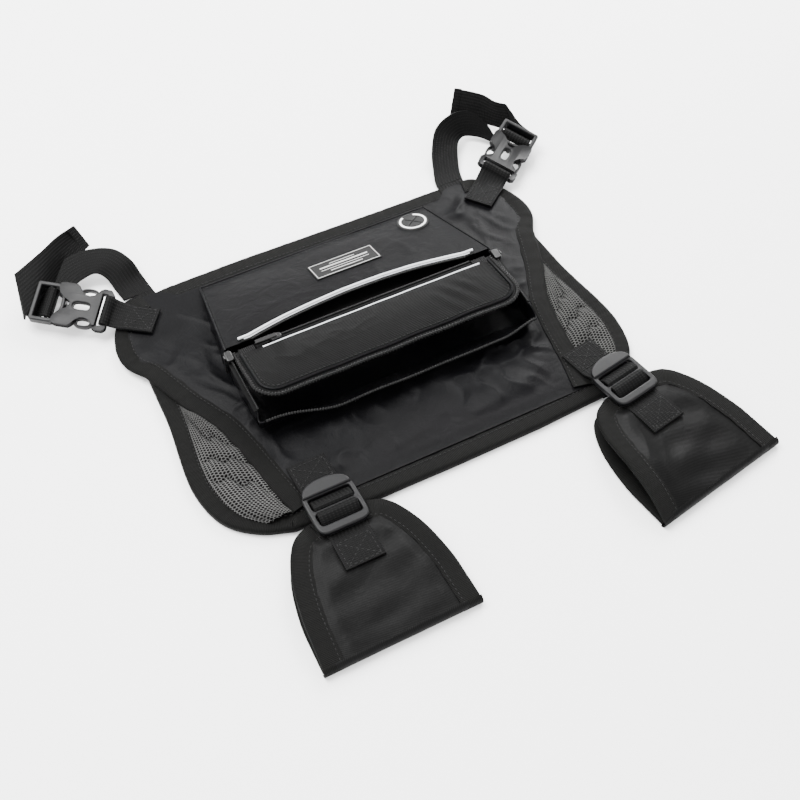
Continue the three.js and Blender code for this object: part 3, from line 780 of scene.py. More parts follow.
@dataclass(frozen=True)
class Moulded(Finish):
    """A moulded, rubber, enamelled or printed surface.

    Attributes:
        colour: base colour.
        roughness: mean roughness.
        grain: size of the surface's fine grain in mm.
        relief: depth of that grain in mm.
        metallic: 1 for bare metal.
        coat: strength of a clear coat.
    """

    colour: str
    roughness: float
    grain: float = 0.5
    relief: float = 0.03
    metallic: float = 0.0
    coat: float = 0.0

    def surface(self, tree: Tree, place: Outputs) -> dict:
        """One colour, lighter in wide patches, with a fine grain."""
        fine = noise(tree, place, Scale=1 / (self.grain * MM), Detail=2.0)
        wide = noise(tree, place, Scale=120.0, Detail=3.0)
        base = linear(self.colour)
        light = tuple(min(1.0, 1.18 * c) for c in base[:3]) + (1.0,)
        colour = add_node(tree, "ShaderNodeMix", {"Factor": wide, "A": base, "B": light}, data_type="RGBA")
        return {
            "Base Color": colour.outputs["Result"],
            "Roughness": ranged(tree, wide, max(0.05, self.roughness - 0.1), self.roughness + 0.1),
            "Normal": bump(tree, fine, self.relief, 0.6),
            "Metallic": self.metallic,
            "Specular IOR Level": 0.16,
            "Coat Weight": self.coat,
        }


# In each cloth below, the first colour fills the weave's valleys as painted shade and the second, lighter,
# lies on the raised threads, partly as a painted highlight.
# 420 denier nylon oxford, plain weave; its 0.45 mm threads are drawn at 0.9 mm so that they show.
OXFORD = Cloth("nylon oxford", "nylon", "#030304", "#0a0a0b", Weave.PLAIN, 0.9, 0.05, 0.44, 0.0, 0.5)
# Lining: thinner polyester, darker because it lies in shade.
LINING = Cloth("polyester lining", "lining", "#060606", "#0d0d0d", Weave.PLAIN, 0.8, 0.03, 0.6, 0.0, 0.4)
# Grosgrain binding tape: raised ribs across the tape, dull and faintly brown.
GROSGRAIN = Cloth("nylon grosgrain tape", "binding_tape", "#030303", "#0d0d0c", Weave.RIBBED, 1.1, 0.2, 0.6,
                  0.01, 0.3)
# Spacer mesh: grey knitted strands round open cells, with black behind them; the cells' black is that layer
# and also painted shade in the open cells.
AIR_MESH = Cloth("polyester air mesh", "mesh", "#020202", "#424241", Weave.HONEYCOMB, 2.2, 0.45, 0.75, 0.03,
                 0.3)
# Spacer mesh of the back: the same knit, all black.
AIR_BACK = Cloth("black air mesh", "nylon", "#030303", "#101010", Weave.HONEYCOMB, 2.2, 0.35, 0.75, 0.01, 0.3)
# Flat nylon webbing: ribs across, broken lengthwise by the warp.
WEBBING = Cloth("nylon webbing", "webbing", "#030303", "#0f0f0f", Weave.WEBBING, 1.5, 0.26, 0.52, 0.01, 0.2)
# Twill nylon of the pads: fine diagonal lines and more sheen than the bag.
TWILL = Cloth("nylon twill", "pad_nylon", "#030303", "#0d0d0d", Weave.TWILL, 1.1, 0.08, 0.42, 0.0, 0.4)
# Corded nylon over the flap's pocket: fine ribs running from hinge to free edge.
CORDED = Cloth("corded nylon", "nylon", "#030303", "#0e0e0e", Weave.RIBBED, 1.5, 0.24, 0.5, 0.0, 0.3)
# Zip tape: tight ribs along the zip.
ZIP_TAPE = Cloth("polyester zip tape", "zip_tape", "#030303", "#0b0b0b", Weave.CORDED, 0.9, 0.08, 0.6, 0.0,
                 0.1)
# Bonded thread: dull black, a shade lighter than the cloth it sews.
THREAD = Moulded("bonded polyester thread", "binding_tape", "#0a0a0a", 0.5, 0.4, 0.05)
# Zip coil: extruded nylon, slightly glossy.
COIL = Moulded("nylon zip coil", "zip_tape", "#0a0a0a", 0.25, 0.3, 0.01)
# Acetal buckles: satin moulded plastic with soft highlights.
ACETAL = Moulded("moulded acetal", "acetal", "#080809", 0.42, 0.35, 0.02)
# Reflective piping: glass beads bonded to cloth, which look silver grey.
REFLECTIVE = Moulded("glass bead reflective piping", "piping", "#b9bbbd", 0.42, 0.4, 0.06, 0.35)
# Sliders: die-cast zinc under black enamel.
ENAMEL = Moulded("enamelled zinc", "zip_metal", "#0c0c0c", 0.3, 0.6, 0.02, 0.0, 0.4)
# Moulded rubber of the port and the patch.
RUBBER = Moulded("moulded rubber", "rubber", "#0a0a0a", 0.55, 0.45, 0.04)
# Grey print of the patch's frame and bars.
PRINT = Moulded("grey ink", "white_print", "#a9a9a7", 0.5, 0.4, 0.02)
# White rubber of the arc round the port.
WHITE = Moulded("white rubber", "white_print", "#dcdcda", 0.5, 0.4, 0.02)


def place(piece: Piece, finish: Finish, body: str, *nodes: str,
          blend: tuple | None = None) -> Piece:
    """Dresses a piece, hides the CAD nodes it stands for and hangs it on its body, or with a blend leaves it
    off any body with its frame baked in.

    Args:
        piece: the object.
        finish: its finish.
        body: the body it hangs on; with a blend it is only logged.
        nodes: CAD nodes it stands for.
        blend: other body, start point and end point in mm, for a piece across a joint; these three are not
            used, and the piece gets its frame baked into its points instead of a body.

    Returns:
        The piece.
    """
    piece.data.materials.clear()
    piece.data.materials.append(finish.material())
    if nodes:
        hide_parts(*nodes)
    if blend:
        other, start, end = blend
        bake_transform(piece)
    else:
        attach(piece, body)
    LOG.info("%-28s %-26s on %s", piece.name, finish.name, body)
    return piece


# ---- Building helpers for cloth ----


def thickened(name: str, middle: Array, thick: float, lift: float = 0.0) -> Piece:
    """A cloth of even thickness round a grid, measured along the grid's normals.

    Args:
        name: the piece's name.
        middle: the grid, in mm.
        thick: thickness in mm.
        lift: how far the cloth's own middle lies above the grid, in mm.

    Returns:
        The object.
    """
    along, across = np.gradient(middle, axis=0), np.gradient(middle, axis=1)
    normal = np.cross(along, across)
    normal /= np.maximum(np.linalg.norm(normal, axis=2, keepdims=True), 1e-9)
    return slab(name, middle + normal * (lift + thick / 2), middle + normal * (lift - thick / 2))


def ribbon(first: Array | list, second: Array | list, rows: int, columns: int = 9) -> Array:
    """A ruled band between two smooth edge lines, straight across from one to the other.

    Args:
        first: points of one edge, in mm.
        second: matching points of the other edge.
        rows: rows along the band.
        columns: points across it.

    Returns:
        A grid for thickened().
    """
    both = spline(np.hstack([np.asarray(first, float), np.asarray(second, float)]), rows)
    share = np.linspace(0, 1, columns)[None, :, None]
    return both[:, None, :3] * (1 - share) + both[:, None, 3:] * share


def turned(points: Array, origin: tuple, roll: float = 0.0, pitch: float = 0.0, yaw: float = 0.0) -> Array:
    """Points of a local frame in the part's: turned by roll, pitch, then yaw, moved to the origin."""
    cr, sr, cp, sp, cy, sy = (f(a) for a in (roll, pitch, yaw) for f in (math.cos, math.sin))
    about_x = np.array([[1, 0, 0], [0, cr, -sr], [0, sr, cr]])
    about_y = np.array([[cp, 0, sp], [0, 1, 0], [-sp, 0, cp]])
    about_z = np.array([[cy, -sy, 0], [sy, cy, 0], [0, 0, 1]])
    return points @ (about_z @ about_y @ about_x).T + np.array(origin, float)


def folded_tape(name: str, path: Array, inward: Array, depth: tuple, height: tuple, closed: bool,
                mirrored: bool = False,
                drop: Array | None = None) -> Piece:
    """Binding tape folded round an edge: its section is carried along the edge, with a slight waver in
    width and height.

    Args:
        name: the piece's name.
        path: plan line of the edge, in mm.
        inward: unit plan directions into the panel.
        depth: the section's distances inwards, in mm.
        height: the section's heights in mm.
        closed: whether the line closes on itself.
        mirrored: builds the other side's piece.
        drop: how far each point of the line hangs below its height.

    Returns:
        The object.
    """
    depth, height = np.array(depth, float), np.array(height, float)
    along = np.linspace(0, len(path) * 2.0, len(path))
    waver = 1 + 0.035 * ripple(along, 0.0, 37, 4)[:, None]
    lift = 0.18 * ripple(along, 0.0, 23, 8)[:, None]
    rings = carried(raised(path, 0.0), raised(inward, 0.0), each(UP, path),
                    depth[None] * waver, height[None] + lift * (height > height.mean())[None])
    if drop is not None:
        rings[..., 2] -= drop[:, None]
    if mirrored:
        rings = rings * [-1, 1, 1]
    return tube(name, rings, closed)


def zip_coil(name: str, path: Array, radius: float = 1.05, pitch: float = 1.7) -> Piece:
    """Zip coil: a round cord that swells once per tooth, from 0.55 to 1.09 of its radius.

    Args:
        name: the piece's name.
        path: the line, in mm.
        radius: in mm.
        pitch: from tooth to tooth in mm.

    Returns:
        The object.
    """
    total = np.linalg.norm(np.diff(path, axis=0), axis=1).sum()
    fine = resample(path, int(total / pitch * 6) + 2)
    along = np.linspace(0, total, len(fine))
    return tube(name, round_cord(fine, radius * (0.82 - 0.27 * np.cos(along * math.tau / pitch))), crease=80)


def cross_box(origin: Array, yaw: float, length: float, width: float, z: Callable[[Array], Array] | float,
              name: str) -> Piece:
    """Stitching in a box with a cross: four sides and two diagonals, as rows of stitches on a level or
    sloping cloth.

    Args:
        origin: plan point at the middle of the box's starting side.
        yaw: direction of the length, in radians.
        length: along the webbing in mm.
        width: across it in mm.
        z: height of the cloth, or a function of the distance along.
        name: the piece's name.

    Returns:
        One object.
    """
    corners = np.array([[0, -width / 2], [length, -width / 2], [length, width / 2], [0, width / 2]])
    rows = []
    for k, (a, b) in enumerate(((0, 1), (1, 2), (2, 3), (3, 0), (0, 2), (1, 3))):
        flat = corners[a] + (corners[b] - corners[a]) * np.linspace(0, 1, 30)[:, None]
        level = z(flat[:, 0]) if callable(z) else np.full(len(flat), z)
        line = turned(raised(flat, level), (origin[0], origin[1], 0.0), yaw=yaw)
        rows.append(stitches(f"{name}_{k}", line, UP))
    return joined(name, rows)


# ---- Plan shapes ----


@dataclass
class Plan:
    """Plan outlines of the bag's panels, in mm, right side first; the left side is their mirror image."""

    far_y: float = 186.0
    near_y: float = -73.0
    far_half: float = 126.0
    front_near: float = -58.7
    neck: tuple[float, float] = (170.0, 104.0)

    def back_side(self) -> Array:
        """Right edge of the back panel, from the waist edge to the shoulder edge."""
        return spline([(self.far_half, self.far_y), (144, 182), (164, 158), self.neck, (172, 58), (178, -10),
                       (169, -43), (150, -61), (128, -70)], 240)

    def back_loop(self) -> Array:
        """The whole edge of the back panel, clockwise."""
        side = self.back_side()
        near = np.array([[70.0, self.near_y], [0.0, self.near_y - 0.6], [-70.0, self.near_y]])
        far = np.array([[-60.0, self.far_y + 1.2], [0.0, self.far_y + 0.6], [60.0, self.far_y]])
        loop = np.vstack([both_sides(side, near), far, side[:1]])
        return resample(loop, 1300)[:-1]

    def front_edge(self) -> Array:
        """Right free edge of the front panel, from the shoulder edge to the ear's far corner."""
        diagonal = spline([(122, self.front_near), (127, -36), (139, 28), (156, 66), self.neck], 120)
        ear = spline([self.neck, (180, 122), (181, 140), (173, 162), (156, 180), (146, 182.5)], 90)
        return np.vstack([diagonal, ear[1:]])

    def front_far(self) -> Array:
        """Far edge of the front panel, left to right: straight behind the pouch, rising at the ears."""
        x = np.linspace(-146, 146, 240)
        return np.stack([x, self.far_y - 14.3 + 10.8 * ease((np.abs(x) - 117) / 16)], axis=1)

    def droop(self, x: Array) -> Array:
        """How far the ears hang down past the padding, in mm."""
        return 1.8 * ease((np.abs(x) - 163) / 16)


# ---- Sub-assemblies ----


@dataclass
class BackPanel:
    """The padded back, its binding, the mesh wings and the webbing under it."""

    plan: Plan
    thick: float = 6.0
    pressed: tuple[float, float] = (1.1, 4.9)
    strap_lines: tuple = (((-98.0, -70.0), (-146.0, 192.0)), ((139.2, -70.0), (141.0, 192.0)))
    binding_depth: tuple = (14, 9, 3, 0.9, 0.1, 0, 0.1, 0.9, 3, 9, 14, 14, 3, 1.3, 1.1, 1.3, 3, 14)
    binding_height: tuple = (6, 6.1, 6.0, 5.6, 4.6, 3, 1.4, 0.4, 0.05, 0, 0, 0.8, 0.85, 1.6, 3, 4.4, 5.15,
                             5.2)

    def pad(self) -> Piece:
        """The padding: a patch between four edges, full inside and thin under the binding."""
        side = self.plan.back_side() + [-2.0, 0.0]
        side = side[(side[:, 1] < self.plan.far_y - 2)]
        right = side[::-1]
        left = right * FLIP_X
        near = np.linspace(left[0], right[0], 60)
        far = np.linspace(left[-1], right[-1], 60)
        flat = coons(near, far, left, right, edge_steps(120), edge_steps(110))
        edge = away_from(flat, self.plan.back_loop()[::2])
        full = ease((edge - 12) / 5)
        x, y = flat[..., 0], flat[..., 1]
        top = self.pressed[1] + (self.thick - 0.1 - self.pressed[1]) * full
        under = self.pressed[0] * (1 - full)
        for (x0, y0), (x1, y1) in self.strap_lines:
            off = np.abs((x - x0) * (y1 - y0) - (y - y0) * (x1 - x0)) / math.hypot(x1 - x0, y1 - y0)
            under = np.maximum(under, 1.9 * ease((15.5 - off) / 1.5))
        return slab("back_padding", raised(flat, top), raised(flat, under))

    def wing_edges(self) -> tuple[Array, Array, Array]:
        """Plan distances along a wing, and its inner and outer edge there."""
        edge, back = self.plan.front_edge()[:119], self.plan.back_side()
        y = np.linspace(86, self.plan.front_near + 0.5, 230)
        inner = np.interp(y, edge[:, 1], edge[:, 0]) + 0.6
        outer = np.interp(-y, -back[:, 1], back[:, 0]) - 12.6
        return y, inner, np.maximum(outer, inner + 0.6)

    def wing(self, side: str) -> Piece:
        """A mesh wing: a crescent between two bindings, in lens-shaped puckers of a folded sine."""
        y, inner, outer = self.wing_edges()
        share = edge_steps(26, 0.02)[None]
        x = inner[:, None] + (outer - inner)[:, None] * share
        run = np.linspace(0, 1, len(y))[:, None]
        phase = 4.6 * run + 0.9 * share + 0.28 * np.sin(11 * run) + 0.12 * np.sin(17 * share + 5 * run)
        puff = np.abs(np.sin(np.pi * phase)) ** 0.45 * (4 * share * (1 - share)) ** 0.45
        covered = {"left": 0.0, "right": 0.85}[side] * ease((-14 - y[:, None]) / 12)
        wide = ease((outer - inner)[:, None] / 14) * (1 - covered)
        height = 6.15 + wide * (5.2 * puff + 0.4 * ripple(x, y[:, None], 14, 21))
        middle = points_at(x * SIDES[side], y[:, None], np.maximum(height, 6.1))
        return thickened(f"air_mesh_wing_{side}", middle, 0.7, -0.35 * SIDES[side])

    def build(self) -> None:
        """Makes and dresses every piece."""
        pad = place(self.pad(), AIR_BACK, "vest", "back_panel")
        loop = self.plan.back_loop()
        inward = -left_of(loop, closed=True)
        tape = folded_tape("outer_binding_tape", loop, inward, self.binding_depth, self.binding_height, True)
        place(tape, GROSGRAIN, "vest", "outer_binding")
        row = loop + inward * 11.6
        line = raised(resample(np.vstack([row, row[:1]]), 900), 6.22)
        place(stitches("outer_binding_stitches", line, UP), THREAD, "vest")
        for side in SIDES:
            wing = place(self.wing(side), AIR_MESH, "vest", f"mesh_wing_{side}")
            y, inner, outer = self.wing_edges()
        for side, (start, end) in zip(SIDES, self.strap_lines):
            path = np.linspace([*start, 0.7], [*end, 0.7], 60)
            strap = tube(f"under_webbing_{side}", strap_rings(path, each(ACROSS, path), 25, 1.4))
            place(strap, WEBBING, "vest", f"under_strap_{side}")


@dataclass
class FrontPanel:
    """The front cloth with its two ears, and the binding along each free edge."""

    plan: Plan
    level: float = 7.45
    thick: float = 1.0
    binding_depth: tuple = (13.6, 8, 2, -0.6, -1.6, -1.7, -1.0, -0.5, -0.7, -0.6, 0.3, 13.6)
    binding_height: tuple = (8.5, 8.75, 8.7, 8.4, 7.6, 6.7, 6.3, 6.5, 7.0, 7.5, 7.85, 7.8)

    def cloth(self) -> Piece:
        """The cloth: a patch, creased away from its edges and the pouch, drooping at the ears."""
        right = self.plan.front_edge()
        left = right * FLIP_X
        far = self.plan.front_far()
        near = np.linspace(left[0], right[0], 80)
        flat = coons(near, far, left, right, edge_steps(170, 0.003), edge_steps(160, 0.003))
        x, y = flat[..., 0], flat[..., 1]
        edge = away_from(flat, np.vstack([right, left, far, near]))
        open_cloth = 1 - ease((106 - np.abs(x)) / 5) * ease((y - 14) / 6) * ease((170 - y) / 4)
        folds = 2.4 * creases(x, y, 60, 3) + 1.1 * creases(x, y, 34, 31) + 0.5 * ripple(x, y, 42, 5) + 0.4
        height = np.maximum(folds, 0) * ease((edge - 11) / 10) * open_cloth
        tab = ease((30 - np.hypot(np.abs(x) - 158, y - 161)) / 12)
        top = self.level + height * (1 - 0.8 * tab) - self.plan.droop(x) - 0.6 * ease((-y - 48) / 10)
        return slab("front_cloth", raised(flat, top), raised(flat, top - self.thick))

    def build(self) -> None:
        """Makes and dresses every piece."""
        cloth = place(self.cloth(), OXFORD, "vest", "front_panel")
        edge = self.plan.front_edge()
        outline = both_sides(edge, self.plan.front_far()[::-1])
        inward = left_of(edge)
        drop = self.plan.droop(edge[:, 0])
        for side, sign in SIDES.items():
            tape = folded_tape(f"front_binding_tape_{side}", edge, inward, self.binding_depth,
                               self.binding_height, False, sign < 0, drop)
            place(tape, GROSGRAIN, "vest", f"front_binding_{side}")
            line = raised(edge + inward * 11.4, 8.82 - drop) * [sign, 1, 1]
            place(stitches(f"front_binding_stitches_{side}", resample(line, 500), UP), THREAD, "vest")


@dataclass
class Pouch:
    """The pouch: sloping top with its patch and cable port, three walls, and its zips."""

    far_half: float = 101.0
    near_half: float = 113.5
    far_y: float = 168.0
    top_near_y: float = 81.0
    low: float = 8.6
    rise: float = 22.0
    mouth_half: float = 92.0
    bow: float = 10.7
    thick: float = 1.3
    near_wall_y: float = 18.0
    foot: float = 7.8
    near_lean: float = math.radians(50)
    patch: tuple[float, float, float, float] = (9.0, 130.0, 57.0, 21.5)
    port: tuple[float, float] = (82.0, 150.0)

    @property
    def top_slope(self) -> float:
        """Slope of the top, in radians."""
        return math.atan2(self.rise, self.far_y - self.top_near_y)

    def down(self, y: Array) -> Array:
        """Share of the way from the waist seam to the mouth, at a plan distance."""
        return np.clip((self.far_y - y) / (self.far_y - self.top_near_y), 0, 1)

    def half_at(self, y: Array) -> Array:
        """Half width of the top at a plan distance."""
        return self.far_half + (self.near_half - self.far_half) * self.down(y)

    def mouth_y(self, x: Array) -> Array:
        """Plan line of the top's free edge: a parabola between the ends of the pocket zip."""
        return self.top_near_y + self.bow * np.clip(1 - (x / self.mouth_half) ** 2, 0, 1)

    def top_z(self, x: Array, y: Array) -> Array:
        """Height of the top cloth's face: slope, crown that fades at the edges, and slack."""
        share = self.down(y)
        across = np.clip(1 - (np.abs(x) / self.half_at(y)) ** 4, 0, 1)
        crown = 1.6 * across * np.sin(np.pi * share) ** 0.8
        slack = 0.4 * ripple(x, y, 74, 12) * across + 0.5 * creases(x, y, 80,
                                                                    44) * across * np.sin(np.pi * share)
        return self.low + self.rise * share + self.thick + 0.15 + crown + slack

    def top(self) -> Piece:
        """The top cloth: rows from the waist seam to the mouth, its side edges rolled down into the seams."""
        u = (2 * edge_steps(130, 0.004) - 1)[:, None]
        v = edge_steps(70, 0.006)[None]
        x = u * (self.far_half + (self.near_half - self.far_half) * v)
        y = self.far_y - v * (self.far_y - self.mouth_y(x))
        roll = 1.3 * (1 - np.sqrt(np.clip(1 - ((np.abs(u) - 0.985) / 0.015).clip(0, 1) ** 2, 0, 1)))
        z = self.top_z(x, y) - roll
        flat = points_at(x, y)
        return slab("pouch_top_cloth", raised(flat, z), raised(flat, z - self.thick))

    def on_top(self, plan: Array, up: float) -> Array:
        """Plan points laid on the top cloth, the given distance above it."""
        return raised(plan, self.top_z(plan[..., 0], plan[..., 1]) + up)

    def wall_top(self, y: Array) -> Array:
        """Height of the side walls' upper edge."""
        behind = self.low + self.rise * self.down(y) - 0.5
        return np.where(y >= self.top_near_y, behind, 26.0 + (y - 18.0) / 63.0 * 4.0)

    def wall(self, side: str) -> Piece:
        """A side wall: it bellies outwards as a sine of its height and gathers along its length."""
        y = np.linspace(160, 20, 120)[:, None]
        h = edge_steps(20, 0.02)[None]
        z = self.foot + h * (self.wall_top(y) - self.foot)
        tall = ease((self.wall_top(y) - self.foot) / 16)
        belly = np.sin(np.pi * h) * (2.6 + 1.2 * ripple(y, 0.0, 30, 6)) * tall
        gather = 0.7 * ripple(y, z, 13, 14) * np.sin(np.pi * h) * tall
        x = (self.half_at(y) + 0.1 + belly + gather) * SIDES[side]
        outer = points_at(x, y, z)
        inner = outer - np.array([1.1 * SIDES[side], 0, 0])
        return slab(f"pouch_side_{side}", outer, inner)

    def near_wall(self) -> Piece:
        """The near wall, fallen outwards: a strip leaning from its foot, with slack waves across it."""
        x = np.linspace(-111.8, 111.8, 170)[:, None]
        h = edge_steps(18, 0.02)[None]
        tall = 17.6
        wave = np.sin(np.pi * h) * (1.3 * ripple(x, 0.0, 55, 17) - 0.8) + h * 0.8 * ripple(x, 0.0, 80, 18)
        return thickened("near_wall_cloth", self.leaning(x, wave, 0.3 + h * tall), 1.1)

    def leaning(self, x: Array, out: Array | float, up: Array | float) -> Array:
        """Points on the near wall, from its foot: leaning least at its left end."""
        lean = self.near_lean * (0.5 + 0.62 * ease((x + 112) / 60) - 0.3 * ease((x - 82) / 30))
        y = self.near_wall_y + out * np.cos(lean) - up * np.sin(lean)
        return points_at(x, y, 8.6 + out * np.sin(lean) + up * np.cos(lean))

    def near_zip_line(self) -> Array:
        """The near wall's upper edge, where its half of the zip is sewn."""
        x = np.linspace(-112, 112, 120)
        return self.leaning(x, 0.8 * ripple(x, 0.0, 80, 18), 18.6)

    def corner(self, side: str) -> Piece:
        """A pleat between a side wall and the near wall, pushed out in its middle."""
        sign = SIDES[side]
        h = np.linspace(0, 1, 16)[None, :, None]
        t = np.linspace(0, 1, 18)[:, None, None]
        wall_end = np.array([sign * 114.0, 20.0, 7.9]) + h * np.array([0, 0, 18.0])
        foot, head = self.leaning(np.full((1, 1), sign * 112.5), np.zeros((1, 1)),
                                  np.array([[0.3], [17.8]]))[:, 0]
        lean_end = foot + h * (head - foot)
        middle = wall_end * (1 - t) + lean_end * t + np.sin(np.pi
                                                            * t) * h * np.array([sign * 2.5, -0.6, -3.5])
        return thickened(f"gusset_pleat_{side}", middle, 0.9)

    def far_lip(self) -> Piece:
        """The far half of the pocket zip's tape, on the top cloth beside the mouth."""
        x = np.linspace(-self.mouth_half - 8, self.mouth_half + 8, 150)
        edge = points_at(x, self.mouth_y(x))
        rows = [self.on_top(edge + left_of(edge) * d, 0.5) for d in np.linspace(-0.4, 5.0, 6)]
        return thickened("pocket_zip_tape_far", np.stack(rows, axis=1), 0.7)

    def mouth_cord(self, away: float, up: float, reach: float = 0.0) -> Array:
        """A line beside the mouth, for a cord."""
        x = np.linspace(-self.mouth_half - reach, self.mouth_half + reach, 160)
        edge = points_at(x, self.mouth_y(x))
        return self.on_top(edge + left_of(edge) * away, up)

    def lining(self) -> Piece:
        """The back of the zip pocket: down from under the top cloth, then forward under the mouth."""
        section = spline([(107, -0.9), (106.4, -5), (104, -7.9), (98, -8.8), (90, -8.7), (82.5, -8.2)], 40)
        x = np.linspace(-self.mouth_half, self.mouth_half, 90)[:, None]
        slope = self.low + self.rise * (self.far_y - section[:, 0]) / (self.far_y - self.top_near_y)
        y = section[None, :, 0]
        z = (slope + section[:, 1])[None] + 0.3 * ripple(x, y, 40, 23)
        return thickened("pocket_back", points_at(x, y, z), 0.7)

    def at_port(self, local: Array) -> Array:
        """Points of the cable port's own frame, in the part's frame."""
        cx, cy = self.port
        level = float(self.top_z(np.array(cx), np.array(cy)))
        return turned(local, (cx, cy, level), roll=-self.top_slope)

    def port_disc(self) -> Piece:
        """The cable port: a domed rubber disc with a rim and two slits that cross."""
        radius = np.array([9.5, 9.5, 13.2, 13.5, 13.2, 12.2, 11.6, 11.2, 10.6, 10.0, 9.4,
                           *np.linspace(9.0, 0.15, 26)])
        height = np.array([-1.8, -0.2, -0.1, 0.5, 1.1, 1.5, 1.5, 1.35, 1.25, 1.35, 1.4,
                           *np.linspace(1.42, 1.7, 26)])
        turn = np.linspace(0, math.tau, 200, endpoint=False)
        x, y = radius[:, None] * np.cos(turn), radius[:, None] * np.sin(turn)
        diagonal = np.minimum(np.abs(x * 0.78 + y * 0.62), np.abs(x * 0.62 - y * 0.78))
        slit = np.exp(-(diagonal / 0.45) ** 2) * (np.hypot(x, y) < 7.6)
        z = height[:, None] - 0.9 * slit * (height > 1.3)[:, None]
        return tube("cable_port_disc", self.at_port(points_at(x, y, z)), crease=50)

    def port_arc(self) -> Piece:
        """The white open arc round the port: a flat band over 305 degrees."""
        turn = np.radians(np.linspace(118, 118 + 305, 90))
        centre = points_at(10.6 * np.cos(turn), 10.6 * np.sin(turn), 1.45)
        across = (-0.85, -0.7, 0.7, 0.85, 0.7, -0.7)
        rise = (0.0, 0.28, 0.28, 0.0, -0.25, -0.25)
        rings = carried(centre, points_at(np.cos(turn), np.sin(turn), 0.0), each(UP, centre), across, rise)
        return tube("cable_port_arc", self.at_port(rings))

    def patch_pieces(self) -> None:
        """The patch: a rounded slab, a thin frame inside its edge, and plain bars in place of any wording."""
        cx, cy, wide, tall = self.patch
        u, v = (edge_steps(40, 0.01) - 0.5)[:, None], (edge_steps(16, 0.02) - 0.5)[None]
        flat = points_at(cx + u * wide, cy + v * tall)
        patch = slab("label_patch_rubber", self.on_top(flat, 0.75), self.on_top(flat, 0.05))
        place(patch, RUBBER, "vest", "label_patch")
        corner = rectangle(-1, 1, -1, 1)[[0, 1, 2, 3, 0]] * [wide / 2 - 1.3, tall / 2 - 1.3] + [cx, cy]
        bars = [(corner[k], corner[k + 1], 0.28) for k in range(4)]
        for offset, reach, radius in ((5.2, 11, 0.3), (1.6, 21, 0.75), (-1.8, 21, 0.3), (-5.0, 14, 0.45)):
            bars.append(((cx - reach, cy + offset), (cx + reach, cy + offset), radius))
        made = [cord(f"mark_{k}", self.on_top(np.linspace(a, b, 30), 0.78), radius, 6)
                for k, (a, b, radius) in enumerate(bars)]
        place(joined("label_marks", made), PRINT, "vest")

    def build(self) -> None:
        """Makes and dresses every piece."""
        top = place(self.top(), OXFORD, "vest", "pouch_top")
        for side, sign in SIDES.items():
            wall = place(self.wall(side), OXFORD, "vest", f"pouch_wall_{side}")
            y = np.linspace(160, 20, 120)
            y = np.linspace(self.far_y - 1, self.top_near_y - 1, 60)
            seam = points_at(sign * (self.half_at(y) + 0.3), y, self.wall_top(y) + 1.3)
            place(cord(f"top_seam_{side}", seam, 0.9), OXFORD, "vest")
            y = np.linspace(self.top_near_y - 3, self.near_wall_y + 2, 50)
            zip_line = points_at(sign * (self.near_half + 0.9), y, self.wall_top(y) + 1.6)
            tape = carried(zip_line, each(ACROSS, zip_line), each(UP, zip_line),
                           (-2.2, 1.6, 1.6, -2.2), (-0.8, -0.8, -0.1, -0.1))
            place(tube(f"side_zip_tape_{side}", tape), ZIP_TAPE, "vest", f"main_zip_{side}")
            place(zip_coil(f"side_zip_coil_{side}", zip_line + [-sign * 1.2, 0, 0.5]), COIL, "vest")
            place(self.corner(side), OXFORD, "vest",
                  blend=("near_wall", (sign * 113, 20, 18), (sign * 113, 8, 17)))
        x = np.linspace(-self.far_half, self.far_half, 90)
        y = self.far_y - 0.2
        place(cord("waist_seam", points_at(x, y, self.low + 1.2), 0.9), OXFORD, "vest")
        row = self.on_top(points_at(x * 0.97, y - 3.2), 0.06)
        place(stitches("waist_seam_stitches", row, np.array([0, 0.2, 1.0])), THREAD, "vest")
        wall = place(self.near_wall(), OXFORD, "near_wall", "pouch_wall_near")
        line = self.near_zip_line()
        x = line[:, 0]
        start = self.leaning(x, 0.0, 0.0)
        along_wall = self.leaning(x, 0.0, 1.0) - start
        normal = -(self.leaning(x, 1.0, 0.0) - start)
        tape = carried(line, along_wall, normal,
                       (-3.2, 0.8, 0.8, -3.2), (-0.4, -0.4, 0.4, 0.4))
        place(tube("near_zip_tape", tape), ZIP_TAPE, "near_wall", "main_zip_near")
        place(zip_coil("near_zip_coil", line - normal * 0.3 + along_wall * 0.2, 1.45, 2.1), COIL, "near_wall")
        place(self.far_lip(), ZIP_TAPE, "vest", "pocket_lip_upper")
        place(cord("reflective_piping_far", self.mouth_cord(4.4, 1.0, 9), 1.15), REFLECTIVE, "vest",
              "pocket_piping_upper")
        place(cord("reflective_piping_edge", self.mouth_cord(2.0, 0.95, 5), 0.5), REFLECTIVE, "vest")
        place(zip_coil("pocket_zip_coil_far", self.mouth_cord(-0.4, 0.3)), COIL, "vest")
        place(self.lining(), LINING, "vest", "pocket_lining")
        place(self.port_disc(), RUBBER, "vest", "cable_port")
        place(self.port_arc(), WHITE, "vest", "cable_port_ring")
        self.patch_pieces()


